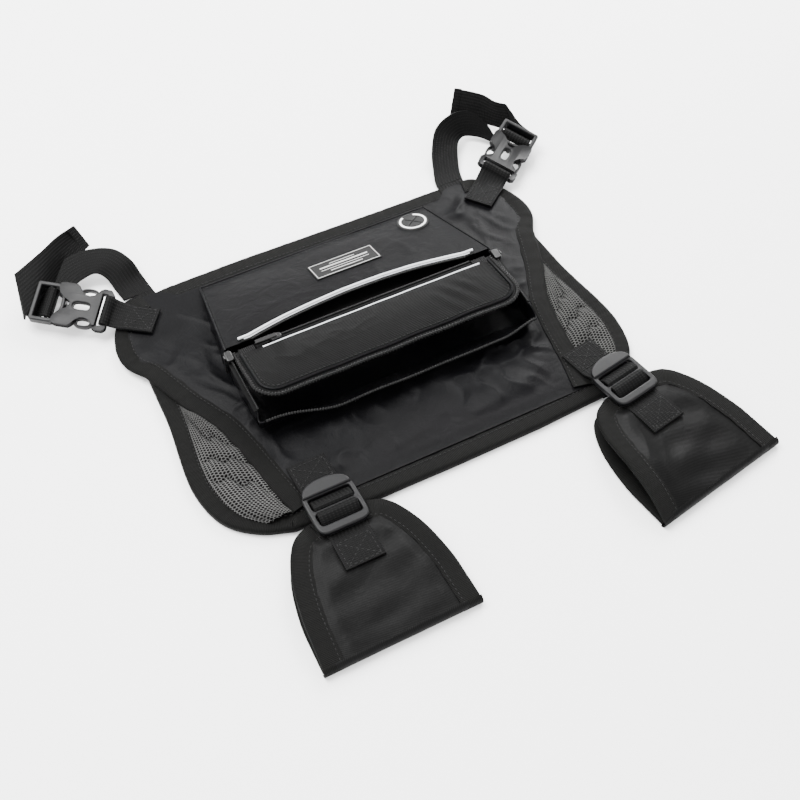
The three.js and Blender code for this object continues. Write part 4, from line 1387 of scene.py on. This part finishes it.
@dataclass
class Flap:
    """The flap: corded cloth over its own pocket, the zip round it, and the mouth's near lip."""

    hinge: tuple[float, float, float] = (0.0, 76.0, 31.0)
    rest: float = math.radians(6)
    half: float = 110.0
    depth: float = 58.0
    corner: float = 18.0
    band: float = 4.0
    mouth_half: float = 92.0
    pocket: float = 8.6

    def out(self, points: Array) -> Array:
        """Points of the flap's own frame, in the part's frame."""
        return turned(points, self.hinge, roll=-self.rest)

    def half_at(self, y: Array, inset: float) -> Array:
        """Half width at a distance from the hinge, a given way inside the round-cornered edge."""
        radius = self.corner - inset
        into = np.clip(-(self.depth - self.corner) - y, 0, radius)
        return self.half - self.corner + np.sqrt(np.maximum(radius ** 2 - into ** 2, 0))

    def rim(self, inset: float, z: float, far: float = -3.0) -> Array:
        """The line round the flap's three free edges, a given way inside them."""
        radius = self.corner - inset
        side = self.half - self.corner
        turn = np.radians(np.linspace(0, -90, 24))
        right = points_at(side + radius * np.cos(turn), -(self.depth - self.corner) + radius * np.sin(turn))
        flat = resample(both_sides(np.vstack([[[self.half - inset, far]], right])), 420)
        sag = 0.5 * ripple(flat[:, 0], flat[:, 1], 60, 27)
        return raised(flat, z + sag)

    def face_z(self, x: Array, y: Array) -> Array:
        """Height of the cloth in the flap's frame: a pillow, with gathers from the mouth."""
        wide = self.half_at(y, self.band + 0.6)
        across = np.clip(1 - (np.abs(x) / wide) ** 6, 0, 1) ** 0.7
        down = np.clip(-(y + 6.0) / (self.depth - 10.5), 0, 1)
        pillow = 3.4 * across * np.sin(np.pi * down ** 0.9) ** 0.7
        gather = 0.55 * np.sin(x / 2.3 + 0.25
                               * y) * ease((x - 38) / 25) * ease((88 - x) / 12) * np.sin(np.pi * down) ** 2
        slack = 0.8 * creases(x, y, 38, 61) * across * np.sin(np.pi * down)
        return 1.3 + pillow + gather + slack

    def cloth(self) -> Piece:
        """The corded cloth, row by row from the mouth to the free edge."""
        y = -7.4 - edge_steps(60, 0.006)[:, None] * (self.depth - self.band - 0.6 - 7.4)
        u = 2 * edge_steps(150, 0.003)[None] - 1
        x = u * self.half_at(y, self.band + 0.6)
        z = self.face_z(x, y)
        return slab("flap_cloth", self.out(points_at(x, y, z)), self.out(points_at(x, y, z - 1.0)))

    def ends(self) -> list[Piece]:
        """The cloth beside the mouth's two ends, up to the hinge."""
        made = []
        for sign in (-1, 1):
            x = sign * np.linspace(self.mouth_half + 1, self.half - self.band - 0.5, 14)[:, None]
            y = np.linspace(-1.2, -7.6, 12)[None]
            made.append(thickened(f"flap_end_{sign}", self.out(points_at(x, y, 0.9)), 0.9))
        return made

    def bag(self) -> Piece:
        """The pocket under the flap: a shallow sack, its floor rounded up into its walls."""
        y = -2.2 - edge_steps(40, 0.01)[:, None] * (self.depth - 10.5)
        u = 2 * edge_steps(90, 0.004)[None] - 1
        x = u * (self.half - self.corner + 5.5)
        down = np.clip(-(y + 2.2) / (self.depth - 10.5), 0, 1)
        wall = (1 - np.abs(u) ** 14) ** 0.5 * (1 - np.abs(2 * down - 1) ** 8) ** 0.5
        z = -0.6 - (self.pocket - 1.2) * wall + 0.4 * ripple(x, y, 45, 71) * wall
        local = points_at(x, y, z)
        return thickened("flap_pocket_bag", self.out(local), 0.7)

    def build(self) -> None:
        """Makes and dresses every piece."""
        cloth = joined("flap_cloth", [self.cloth(), *self.ends()])
        place(cloth, CORDED, "flap", "flap_panel")
        bag = place(self.bag(), LINING, "flap", "flap_lining")
        middle = self.rim(self.band / 2 + 0.2, 0.0)
        tape = carried(middle, raised(left_of(middle[:, :2]), 0.0), each(UP, middle),
                       (-2.2, 2.0, 2.2, 2.0, -2.2), (-1.9, -1.9, -0.4, 1.2, 1.2))
        place(tube("flap_zip_tape", self.out(tape)), ZIP_TAPE, "flap", "flap_zip")
        place(zip_coil("flap_zip_coil", self.out(self.rim(0.4, 0.5)), 1.9, 2.4), COIL, "flap")
        place(tube("flap_piping", self.out(round_cord(self.rim(self.band + 0.5, 1.9, -7.0), 1.05))), OXFORD,
              "flap")
        row = self.out(self.rim(self.band + 3.0, 2.75, -9.0))
        place(stitches("flap_stitches", row, np.array([0.0, 0.1, 1.0])), THREAD, "flap")
        x = np.linspace(-self.mouth_half, self.mouth_half, 120)
        lip = points_at(x[:, None], np.linspace(-1.4, -7.2, 5)[None], 0.75)
        place(thickened("pocket_zip_tape_near", self.out(lip), 0.8), ZIP_TAPE, "flap", "pocket_lip_lower")
        place(zip_coil("pocket_zip_coil_near", self.out(points_at(x, -1.6, 1.5))), COIL, "flap")
        x = np.linspace(-self.mouth_half + 4, self.mouth_half + 5, 120)
        line = points_at(x, -8.0 + 0.4 * ripple(x, 0.0, 60, 77), 2.1)
        place(tube("reflective_piping_near", self.out(round_cord(line, 0.8))), REFLECTIVE, "flap",
              "pocket_piping_lower")


@dataclass
class Hardware:
    """Zip sliders and their pulls."""

    bevel: float = 0.55

    def build(self) -> None:
        """Rounds and enamels each slider and pull."""
        for body in ("pocket_slider", "main_slider_left", "main_slider_right"):
            place(refined(body, f"{body}_body", self.bevel), ENAMEL, body, body)
        for body in ("pocket_pull", "main_pull_left", "main_pull_right"):
            place(refined(body, f"{body}_tab", 0.35), ENAMEL, body, body)


@dataclass
class WaistSide:
    """One side's waist webbing: sewn tab, side-release buckle, loop from under the bag and free tail."""

    side: str
    tab: tuple[float, float, float] = (145.0, 151.0, 10.2)
    length: float = 38.0
    turn: float = math.radians(37)
    buckle_z: float = 13.0
    roll: float = math.radians(16)
    pitch: float = math.radians(-3)
    web: float = 25.0
    thick: float = 1.4

    @property
    def sign(self) -> int:
        """-1 on the left, 1 on the right."""
        return SIDES[self.side]

    @property
    def yaw(self) -> float:
        """The buckle's direction in plan."""
        return self.turn if self.sign > 0 else math.pi - self.turn

    def buckled(self, points: Array) -> Array:
        """Points of the buckle's frame, in the part's frame."""
        reach = np.array([math.cos(self.yaw), math.sin(self.yaw)]) * self.length
        origin = (self.sign * self.tab[0] + reach[0], self.tab[1] + reach[1], self.buckle_z)
        return turned(points, origin, roll=self.sign * self.roll, pitch=self.pitch, yaw=self.yaw)

    def sewn_tab(self) -> Piece:
        """The doubled webbing sewn to the ear, rising to the buckle and going over the buckle's bar."""
        flat = np.array([[0, 0, 9.9], [8, 0, 10.0], [20, 0, 10.1], [30, 0, 11.6]])
        base = turned(flat * [1, 1, 0], (self.sign * self.tab[0], self.tab[1], 0),
                      yaw=self.yaw) + flat * [0, 0, 1]
        end = self.buckled(np.array([[-3.4, 0, 0.9], [-1.6, 0, 3.4], [0.6, 0, 4.7], [2.6, 0, 4.3],
                                     [3.8, 0, 2.0]]))
        path = spline(np.vstack([base, end]), 90)
        across = np.array([-self.sign * math.sin(self.turn), math.cos(self.turn), 0.0]) * self.sign
        tip = self.buckled(np.array([[0, 0, 0], [0, 1.0, 0]]))
        tipped = tip[1] - tip[0]
        tipped *= np.sign(tipped @ across)
        share = ease(np.linspace(-0.6, 1.1, 90))[:, None]
        side = across * (1 - share) + tipped * share
        return tube(f"waist_tab_webbing_{self.side}", strap_rings(path, side, self.web, 2.3))

    def arm_sign(self) -> int:
        """Which way across the buckle its far arm lies, read from the CAD node's place."""
        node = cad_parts[f"buckle_arm_far_{self.side}"]
        centre = np.mean([node.matrix_world @ corner.co for corner in node.data.vertices], axis=0) / MM
        ends = self.buckled(np.array([[17.5, 12.3, 0], [17.5, -12.3, 0]]))
        return 1 if np.linalg.norm(ends[0] - centre) < np.linalg.norm(ends[1] - centre) else -1

    def socket(self) -> Piece:
        """The socket: a waisted, slotted body with two lobes, and a thinner bar for the tab."""
        half = [(8.2, 0), (8.2, 13.6), (9.6, 12.6), (12.2, 9.4), (16.5, 8.2), (20.5, 9.0), (24, 11.8),
                (26.4, 15.4),
                (28.4, 16.9), (37.5, 17), (40.4, 16.2), (40.6, 14.2), (38.6, 9.6), (35.4, 6.2), (31.5, 4.2),
                (29.6, 2.6), (29.2, 0)]
        slot = oval(21.0, 0, 6.6, 3.0, 3.2)
        body = moulding("socket_shell", [closed_outline(half, 110), slot], -0.6, 5.0, 1.2)
        ring = [(-0.6, 0), (-0.6, 14.8), (1.2, 16.8), (6.4, 17), (8.8, 15.6), (10.4, 12.6), (10.4, 0)]
        rails = moulding("socket_rails", [closed_outline(ring, 80), oval(5.4, 0, 3.1, 13.4, 7)], -1.4, 3.4,
                         0.9)
        return moved(joined(f"buckle_socket_shell_{self.side}", [body, rails]), self.buckled)

    def plug(self) -> Piece:
        """The plug's frame: thin rails round a window, a bar, and a base between the lobes."""
        outer = [(60, 0), (60, 15.6), (58.6, 17), (43.2, 17), (41.4, 16.2), (41.3, 14.0), (39.6, 9.8),
                 (36.6, 6.9), (35.2, 6.0),
                 (34.6, 3.0), (34.6, 0)]
        hole = [(56.6, 0), (56.6, 13.6), (42.6, 13.6), (40.6, 9.4), (38.0, 5.8), (37.4, 0)]
        ring = moulding("plug_ring", [closed_outline(outer, 90), closed_outline(hole, 70)], -3.6, 3.6, 0.9)
        bar = moulding("plug_bar", [rectangle(46.2, 48.6, -14.4, 14.4)], -1.2, 1.2, 0.5)
        stem = moulding("plug_stem", [rectangle(28.4, 35.4, -1.3, 1.3)], -2.1, 0.4, 0.4)
        return moved(joined(f"buckle_plug_frame_{self.side}", [ring, bar, stem]), self.buckled)

    def arm(self, name: str, end: int) -> Piece:
        """A latch arm: a thin oval ring that fills the socket's waist, on a stem from the plug's base."""
        ring = moulding("arm_ring", [oval(17.3, end * 12.2, 7.6, 4.6, 2.3),
                                     oval(17.3, end * 12.4, 5.7, 2.7, 2.2)], -2.6, 2.6, 0.7)
        stem = moulding("arm_stem", [rectangle(22.0, 34.0, end * 10.5, end * 13.2)], -2.2, 2.2, 0.5)
        return moved(joined(name, [ring, stem]), self.buckled)

    def loop_edges(self) -> tuple[Array, Array]:
        """Edges of the webbing from under the waist edge, up, over and to the plug."""
        stations = {
            "left": [((-146, 192.3, 0.75), (1, 0, 0)), ((-147.2, 199, 1.6), (1, 0.05, 0)),
                     ((-149, 207, 4.4), (0.97, 0.2, 0.1)),
                     ((-152, 217, 11), (0.95, 0.2, 0.25)), ((-160, 227, 15), (0.8, 0.55, 0.25)),
                     ((-176, 232, 14), (0.35, 0.9, 0.3)), ((-194, 228, 12), (-0.15, 0.95, 0.3)),
                     ((-205, 217, 8.5), (-0.5, 0.8, 0.25))],
            "right": [((141, 192.3, 0.75), (1, 0, 0)), ((142.6, 199, 1.5), (1, 0, 0)),
                      ((146.5, 209, 3.6), (1, 0, 0)),
                      ((154, 225, 9), (0.97, -0.1, -0.1)), ((164, 237, 14), (0.75, -0.4, -0.5)),
                      ((178, 241, 16), (0.35, -0.45, -0.8)), ((192, 235, 15), (0.1, -0.6, -0.75)),
                      ((202.5, 219.5, 9), (0.2, -0.8, -0.5))],
        }[self.side]
        middle, wide = np.array(stations, float).transpose(1, 0, 2)
        wide = unit(wide)
        return middle - wide * self.web / 2, middle + wide * self.web / 2

    def plug_edges(self, x: float, z: float) -> Array:
        """The two ends of the webbing's width across the buckle, at the given place along it."""
        half = self.web / 2
        return self.buckled(np.array([[x, -half, z], [x, half, z]]))

    def tail(self) -> Piece:
        """The free tail: round the plug's bar, out, folded over on a slant, and back to its hem."""
        stations = ((43.6, -2.4), (44.4, 1.2), (47.4, 2.9), (50.4, 1.6), (52.4, -2.2), (55.5, -4.8),
                    (60.0, -4.9), (64.0, -2.5))
        rows = [self.plug_edges(x, z) for x, z in stations]
        crease = {
            "left": [((-235.5, 199, 11), (-229, 233, 25)), ((-234, 199.5, 14), (-227.5, 234, 27.5))],
            "right": [((229, 212, 8), (221, 231, 27)), ((227, 214, 9.5), (220, 233, 29))],
        }[self.side]
        after = {
            "left": [((-222, 207, 15), (-207, 243, 30)), ((-200, 229, 12), (-188, 254, 31)),
                     ((-164, 257, 8.5), (-171, 260, 31))],
            "right": [((215, 229, 7), (212, 240, 30)), ((200, 246, 7.5), (206, 252, 31.5)),
                      ((180, 262.5, 8.5), (189, 271, 31.5))],
        }[self.side]
        first, second = np.array(rows).transpose(1, 0, 2)
        if np.linalg.norm(second[-1] - crease[0][1]) > np.linalg.norm(first[-1] - crease[0][1]):
            first, second = second, first
        out = ribbon([*first, crease[0][0]], [*second, crease[0][1]], 60)
        back = ribbon(*zip(crease[1], *after), 60)
        fold = np.stack([out[-1], (out[-1] + back[0]) / 2 + (out[-1] - out[-4]) * 0.35, back[0]])
        return thickened(f"waist_tail_webbing_{self.side}", np.vstack([out[:-1], fold, back[1:]]), self.thick)

    def hem(self) -> Piece:
        """The turned and sewn end of the tail."""
        ends = {
            "left": ((-164.6, 257, 9.0), (-171.6, 260, 30.6), (-171.0, 253.5, 10.5), (-178.0, 256.6, 30.8)),
            "right": ((180, 262.5, 8.7), (189, 271, 31.5), (184.5, 259, 8.5), (193.8, 266.9, 31.6)),
        }[self.side]
        a, b, c, d = (np.array(e, float) for e in ends)
        grid = ribbon([a, (a + c) / 2, c], [b, (b + d) / 2, d], 12)
        return thickened(f"waist_tail_hem_{self.side}", grid, 3.2)

    def build(self) -> None:
        """Makes and dresses every piece."""
        side, sign = self.side, self.sign
        place(self.sewn_tab(), WEBBING, "vest", f"waist_tab_{side}")
        start = turned(np.array([[2.2, 0, 0]]), (sign * self.tab[0], self.tab[1], 0), yaw=self.yaw)[0]
        place(cross_box(start[:2], self.yaw, 20.5, 20.5, 11.25, f"waist_tab_stitches_{side}"), THREAD, "vest")
        plug = f"plug_{side}"
        place(self.socket(), ACETAL, "vest", f"buckle_socket_{side}")
        place(self.plug(), ACETAL, plug, f"buckle_plug_{side}")
        for which, end in (("far", 1), ("near", -1)):
            node = f"buckle_arm_{which}_{side}"
            place(self.arm(f"{node}_latch", end * self.arm_sign()), ACETAL, f"arm_{which}_{side}", node)
        loop = thickened(f"waist_webbing_{side}", ribbon(*self.loop_edges(), 120), self.thick)
        bend = (plug, (sign * 150, 212, 8), (sign * 200, 222, 9))
        place(loop, WEBBING, "vest", f"waist_strap_{side}", blend=bend)
        tail = joined(f"waist_tail_webbing_{side}", [self.tail(), self.hem()])
        place(tail, WEBBING, plug, f"waist_tail_{side}")


@dataclass
class ShoulderSide:
    """One side's shoulder end: sewn webbing, ladder lock, and a pad folded across its width."""

    side: str
    lock_y: float = -46.0
    fold: float = 129.0
    rise: float = math.radians(5)
    web: float = 30.0
    fold_z: float = 3.8

    @property
    def gape(self) -> float:
        """How far the upper leaf's left edge stands open."""
        return {"left": 2.5, "right": 9.0}[self.side]

    @property
    def x(self) -> float:
        """Where the webbing leaves the bag."""
        return {"left": -98.0, "right": 135.0}[self.side]

    @property
    def yaw(self) -> float:
        """How far the pad is turned in plan."""
        return {"left": 0.0, "right": math.radians(10)}[self.side]

    def held(self, points: Array) -> Array:
        """Points of the webbing's frame, in the part's frame."""
        return turned(points, (self.x, self.lock_y, 0), yaw=self.yaw)

    def upper(self, points: Array) -> Array:
        """Points of the upper leaf's frame, in the part's: its left edge gapes open."""
        share = np.clip(points[..., 1] / 92.0, 0, 1)
        gape = self.gape * ease((-points[..., 0] - 6) / 44) * np.sin(np.pi * share ** 0.8) ** 1.3
        lifted = points + points_at(0.35 * gape, 0.0, gape)
        return self.held(turned(lifted, (0, -self.fold, self.fold_z), roll=self.rise))

    def lower(self, points: Array) -> Array:
        """Points of the lower leaf's frame, in the part's frame, kept on their own side of the fold."""
        x, y, z = np.moveaxis(points, -1, 0)
        return self.held(points_at(x, np.maximum(y, 0.4) - self.fold, 0.86 * z + 0.25))

    def half_line(self) -> Array:
        """Right edge of a leaf, from the fold to the neck, in the leaf's frame."""
        return spline([(58, 0), (57.4, 18), (56, 39), (48, 72), (35, 93), (22, 99)], 120)

    def free_edge(self) -> Array:
        """Plan line round a leaf's free edge: up one side, across the neck and down the other."""
        neck = np.array([[12.0, 99.6], [0.0, 99.8], [-12.0, 99.6]])
        return resample(both_sides(self.half_line(), neck), 300)

    def leaf(self, thick: float, crown: float, seed: int) -> tuple[Array, Array]:
        """A padded leaf: width from its edge line, full inside, pressed thin under the binding, lightly
        creased.

        Args:
            thick: thickness at the binding in mm.
            crown: how much higher the middle is.
            seed: picks the creases.

        Returns:
            Upper and lower grids in the leaf's frame.
        """
        edge = self.half_line()
        y = edge_steps(80, 0.006)[:, None] * 97.8
        wide = np.interp(y[:, 0], edge[:, 1], edge[:, 0])[:, None] - 1.6
        u = 2 * edge_steps(96, 0.008)[None] - 1
        x = u * wide
        off = np.minimum(np.minimum(wide - np.abs(x), 99 - y), 60)
        full = ease((off - 9) / 14)
        folds = 0.6 * creases(x + 40 * seed, y, 70, seed) + 0.9 * ripple(x, y * 1.4, 58, seed + 2)
        folds = folds + 1.3 * np.exp(-((y - 30 - 0.2 * x) / 9) ** 2) * np.sin(x / 17.0 + seed)
        top = thick - 0.7 + full * (crown * (0.75 + 0.25 * ease(y / 20)) + folds * ease(y / 16))
        flat = points_at(x, y)
        return raised(flat, top), raised(flat, 0.5 * (1 - full))

    def tape_round(self, name: str, thick: float, out: Callable[[Array], Array],
                   width: float = 15.0) -> Piece:
        """Binding round a leaf's free edge.

        Args:
            name: the piece's name.
            thick: thickness of the leaf's edge in mm.
            out: change of frame from the leaf's to the part's.
            width: width of the tape in mm.

        Returns:
            The object.
        """
        path = self.free_edge()
        inward = left_of(path)
        low, high = -0.15, thick + 0.35
        depth = np.array([width, width * 0.6, 2.2, 0.5, 0.0, 0.5, 2.2, width * 0.6, width, width, 2.6, 1.0,
                          2.6, width])
        rise = np.array([high + 0.5, high + 0.2, high, high * 0.8, high / 2, high * 0.2, low, low, low,
                         low + 0.6, low + 0.7,
                         high / 2, high - 0.65, high - 0.25])
        along = np.linspace(0, 600, 300)
        depth = depth[None] * (1 + 0.03 * ripple(along, 0.0, 41, 33)[:, None])
        rings = carried(raised(path, 0.0), raised(inward, 0.0), each(UP, path), depth,
                        rise + 0.15 * ripple(along, 0.0, 19, 3)[:, None])
        return tube(name, out(rings), False)

    def tape_stitches(self, name: str, height: float, out: Callable[[Array], Array]) -> Piece:
        """The row of stitches along the inner edge of a leaf's binding."""
        path = self.free_edge()
        line = resample(raised(path + left_of(path) * 12.8, height), 300)
        return stitches(name, out(line), UP)

    def fold_roll(self) -> tuple[Piece, Piece]:
        """The cloth round the fold: half a tube between the leaves, with its binding at both ends."""
        turn = np.linspace(math.pi / 2, -math.pi / 2, 18)[None]
        x = (2 * edge_steps(80, 0.004) - 1)[:, None] * 57.4
        radius = 3.8 + 0.62 * ease((52 - np.abs(x)) / 9) + 0.1 * ripple(x, 0.0, 33, 13)
        y = -self.fold - radius * np.cos(turn) * 0.85 + 0.6
        z = radius + radius * np.sin(turn)
        outer = points_at(x, y, z)
        inner = points_at(x, y + 0.9 * np.cos(turn), z - 0.9 * np.sin(turn))
        roll = slab(f"pad_fold_cloth_{self.side}", self.held(outer), self.held(inner))
        ends = []
        for sign in (-1, 1):
            x = sign * np.linspace(58.1, 43.5, 8)[:, None]
            outer, inner = (
                points_at(x, -self.fold - reach * np.cos(turn) * 0.85 + 0.6, 3.75 + reach * np.sin(turn))
                for reach in (4.25, 3.4)
            )
            ends.append(slab(f"fold_tape_{sign}", self.held(outer), self.held(inner)))
        return roll, joined(f"pad_fold_tape_{self.side}", ends)

    def strap(self, name: str, path: Array, thick: float) -> Piece:
        """Webbing along a line of the webbing's frame, its width level."""
        rings = strap_rings(path, each(ACROSS, path), self.web, thick)
        return tube(f"{name}_{self.side}", self.held(rings))

    def lock_webbing(self) -> Piece:
        """Webbing from the bag through the ladder lock: under the far rail, over the middle bar."""
        path = spline([(0, 0.4, 9.6), (0, -4, 10.8), (0, -9, 13.4), (0, -14.0, 15.5), (0, -17.2, 17.6),
                       (0, -20, 20.4),
                       (0, -23.5, 22.1), (0, -26.2, 22.0), (0, -27.3, 20.4), (0, -27.4, 18.2)], 120)
        return self.strap("shoulder_webbing", path, 1.4)

    def lock(self) -> Piece:
        """The ladder lock: a rounded frame with two slots, and a half-round thumb tab along its far rail."""
        frame_edge = oval(0, -28.5, 19.5, 18.5, 6, 96)
        slots = [oval(0, -21.4, 15.7, 5.0, 9, 48), oval(0, -35.1, 15.7, 5.0, 9, 48)]
        ring = moulding("lock_ring", [frame_edge, *slots], 17.0, 21.4, 1.3)
        turn = np.linspace(0, math.pi, 40)
        tab_edge = points_at(18.2 * np.cos(turn), -15.6 + 11.6 * np.sin(turn) ** 0.8)
        tab = moulding("lock_tab", [tab_edge], 19.6, 22.9, 1.2)
        return moved(joined(f"ladder_lock_frame_{self.side}", [ring, tab]), self.held)

    def pad_webbing(self) -> Piece:
        """Doubled webbing sewn to the pad and looped over the ladder lock's near bar."""
        path = spline([(0, -75.5, 15.6), (0, -65, 16.3), (0, -55, 16.4), (0, -47, 15.7), (0, -42.5, 16.0),
                       (0, -39.2, 17.8),
                       (0, -36, 20.6), (0, -32.6, 22.1), (0, -30.0, 21.7), (0, -29.0, 19.8),
                       (0, -29.0, 18.0)], 110)
        return self.strap("pad_webbing_loop", path, 2.2)

    @staticmethod
    def webbing_top(along: Array) -> Array:
        """Height of the pad webbing's face under its stitches, at distances along them."""
        return 16.85 + 0.03 * along

    def build(self) -> None:
        """Makes and dresses every piece."""
        side = self.side
        pad, leaf, lock = f"pad_{side}", f"leaf_{side}", f"lock_{side}"
        stub = np.linspace([0, 22, 9.6], [0, 0.2, 9.6], 40)
        place(self.strap("shoulder_webbing_end", stub, 1.4), WEBBING, "vest", f"shoulder_stub_{side}")
        corner = self.held(np.array([[0, 2.0, 0]]))[0]
        box = cross_box(corner[:2], self.yaw + math.pi / 2, 17.5, 25, 10.4, f"shoulder_stitches_{side}")
        place(box, THREAD, "vest")
        start, end = self.held(np.array([[0, 0.4, 9.6], [0, -12, 15]]))
        place(self.lock_webbing(), WEBBING, "vest", f"shoulder_strap_{side}", blend=(lock, start, end))
        place(self.lock(), ACETAL, lock, f"ladder_lock_{side}")

        top, bottom = self.leaf(3.6, 2.6, 5 if side == "left" else 8)
        upper = slab(f"pad_upper_cushion_{side}", self.upper(top), self.upper(bottom))
        place(upper, TWILL, pad, f"pad_upper_{side}")
        place(self.tape_round(f"pad_upper_tape_{side}", 3.3, self.upper), GROSGRAIN, pad)
        place(self.tape_stitches(f"pad_upper_stitches_{side}", 4.0, self.upper), THREAD, pad)
        top, bottom = self.leaf(3.0, 0.2, 11)
        lower = slab(f"pad_lower_cushion_{side}", self.held(top + [0, -self.fold, 0.0]),
                     self.held(bottom + [0, -self.fold, 0.2]))
        place(lower, TWILL, leaf, f"pad_lower_{side}")
        place(self.tape_round(f"pad_lower_tape_{side}", 3.0, self.lower), GROSGRAIN, leaf)
        high, low = self.held(np.array([[0, -self.fold, 7.3], [0, -self.fold, 0.2]]))
        for piece, finish in zip(self.fold_roll(), (TWILL, GROSGRAIN)):
            place(piece, finish, pad, blend=(leaf, high, low))
        place(self.pad_webbing(), WEBBING, pad, f"pad_webbing_{side}")
        start = self.held(np.array([[0, -47 - 27, 0]]))[0]
        box = cross_box(start[:2], self.yaw + math.pi / 2, 19, 24, self.webbing_top,
                        f"pad_webbing_stitches_{side}")
        place(box, THREAD, pad)


@dataclass
class Studio:
    """Camera, floor and light of a plain pale product shot."""

    distance: float = 0.9021
    azimuth: float = math.radians(-27.711)
    elevation: float = math.radians(52.003)
    target: tuple[float, float, float] = (-0.00896, 0.0, 0.0)
    lens: float = 54.0
    sky: float = 2.2
    floor_half: float = 6.0
    floor_z: float = -0.0004

    def back(self) -> Array:
        """Unit direction from the target to the camera."""
        a, e = self.azimuth, self.elevation
        return np.array([math.sin(a) * math.cos(e), -math.cos(a) * math.cos(e), math.sin(e)])

    def camera(self) -> None:
        """Makes the camera, level, looking at the target."""
        data = bpy.data.cameras.new("camera")
        data.lens, data.sensor_width = self.lens, 36.0
        data.clip_start, data.clip_end = 0.01, 50.0
        eye = linked("camera", data)
        back, right = self.back(), np.array([math.cos(self.azimuth), math.sin(self.azimuth), 0.0])
        up = np.cross(back, right)
        matrix = np.eye(4)
        matrix[:3, 0], matrix[:3, 1], matrix[:3, 2] = right, up, back
        matrix[:3, 3] = np.array(self.target) + back * self.distance
        eye.matrix_world = Matrix(matrix.tolist())
        bpy.context.scene.camera = eye

    def floor(self) -> None:
        """A wide matt plane just under the bag."""
        half = self.floor_half
        points = raised(rectangle(-half, half, -half, half), self.floor_z)
        data = bpy.data.meshes.new("floor")
        data.from_pydata(points, [], [[0, 1, 2, 3]])
        paper = bpy.data.materials.new("matt paper")
        paper.use_nodes = True
        shader = paper.node_tree.nodes["Principled BSDF"]
        shader.inputs["Base Color"].default_value = linear("#fbfbfb")
        shader.inputs["Roughness"].default_value = 0.9
        data.materials.append(paper)
        linked("floor", data)

    def lamp(self, name: str, place_at: tuple, size: float, power: float) -> None:
        """A square soft light aimed at the bag.

        Args:
            name: its name.
            place_at: where it stands, in metres.
            size: side of the square in metres.
            power: in watts.
        """
        data = bpy.data.lights.new(name, "AREA")
        data.shape, data.size, data.energy = "SQUARE", size, power
        lamp = linked(name, data)
        lamp.location = place_at
        away = Vector(place_at)
        lamp.rotation_mode = "QUATERNION"
        lamp.rotation_quaternion = away.to_track_quat("Z", "Y")

    def build(self) -> None:
        """Sets up the whole studio."""
        self.camera()
        self.floor()
        world = bpy.data.worlds.new("studio")
        bpy.context.scene.world = world
        world.use_nodes = True
        sky = world.node_tree.nodes["Background"]
        sky.inputs["Color"].default_value = (1.0, 1.0, 1.0, 1.0)
        sky.inputs["Strength"].default_value = self.sky
        self.lamp("overhead", (-0.5, 0.7, 1.7), 1.2, 104.0)
        self.lamp("window", (0.9, 1.0, 0.9), 0.7, 42.0)
        self.lamp("fill", (-0.6, -1.4, 1.2), 1.0, 18.0)


def main() -> None:
    """Builds the studio and the sub-assemblies in order."""
    Studio().build()
    plan = Plan()
    BackPanel(plan).build()
    FrontPanel(plan).build()
    Pouch().build()
    Flap().build()
    Hardware().build()
    for side in SIDES:
        WaistSide(side).build()
        ShoulderSide(side).build()


if __name__ == "__main__":
    main()
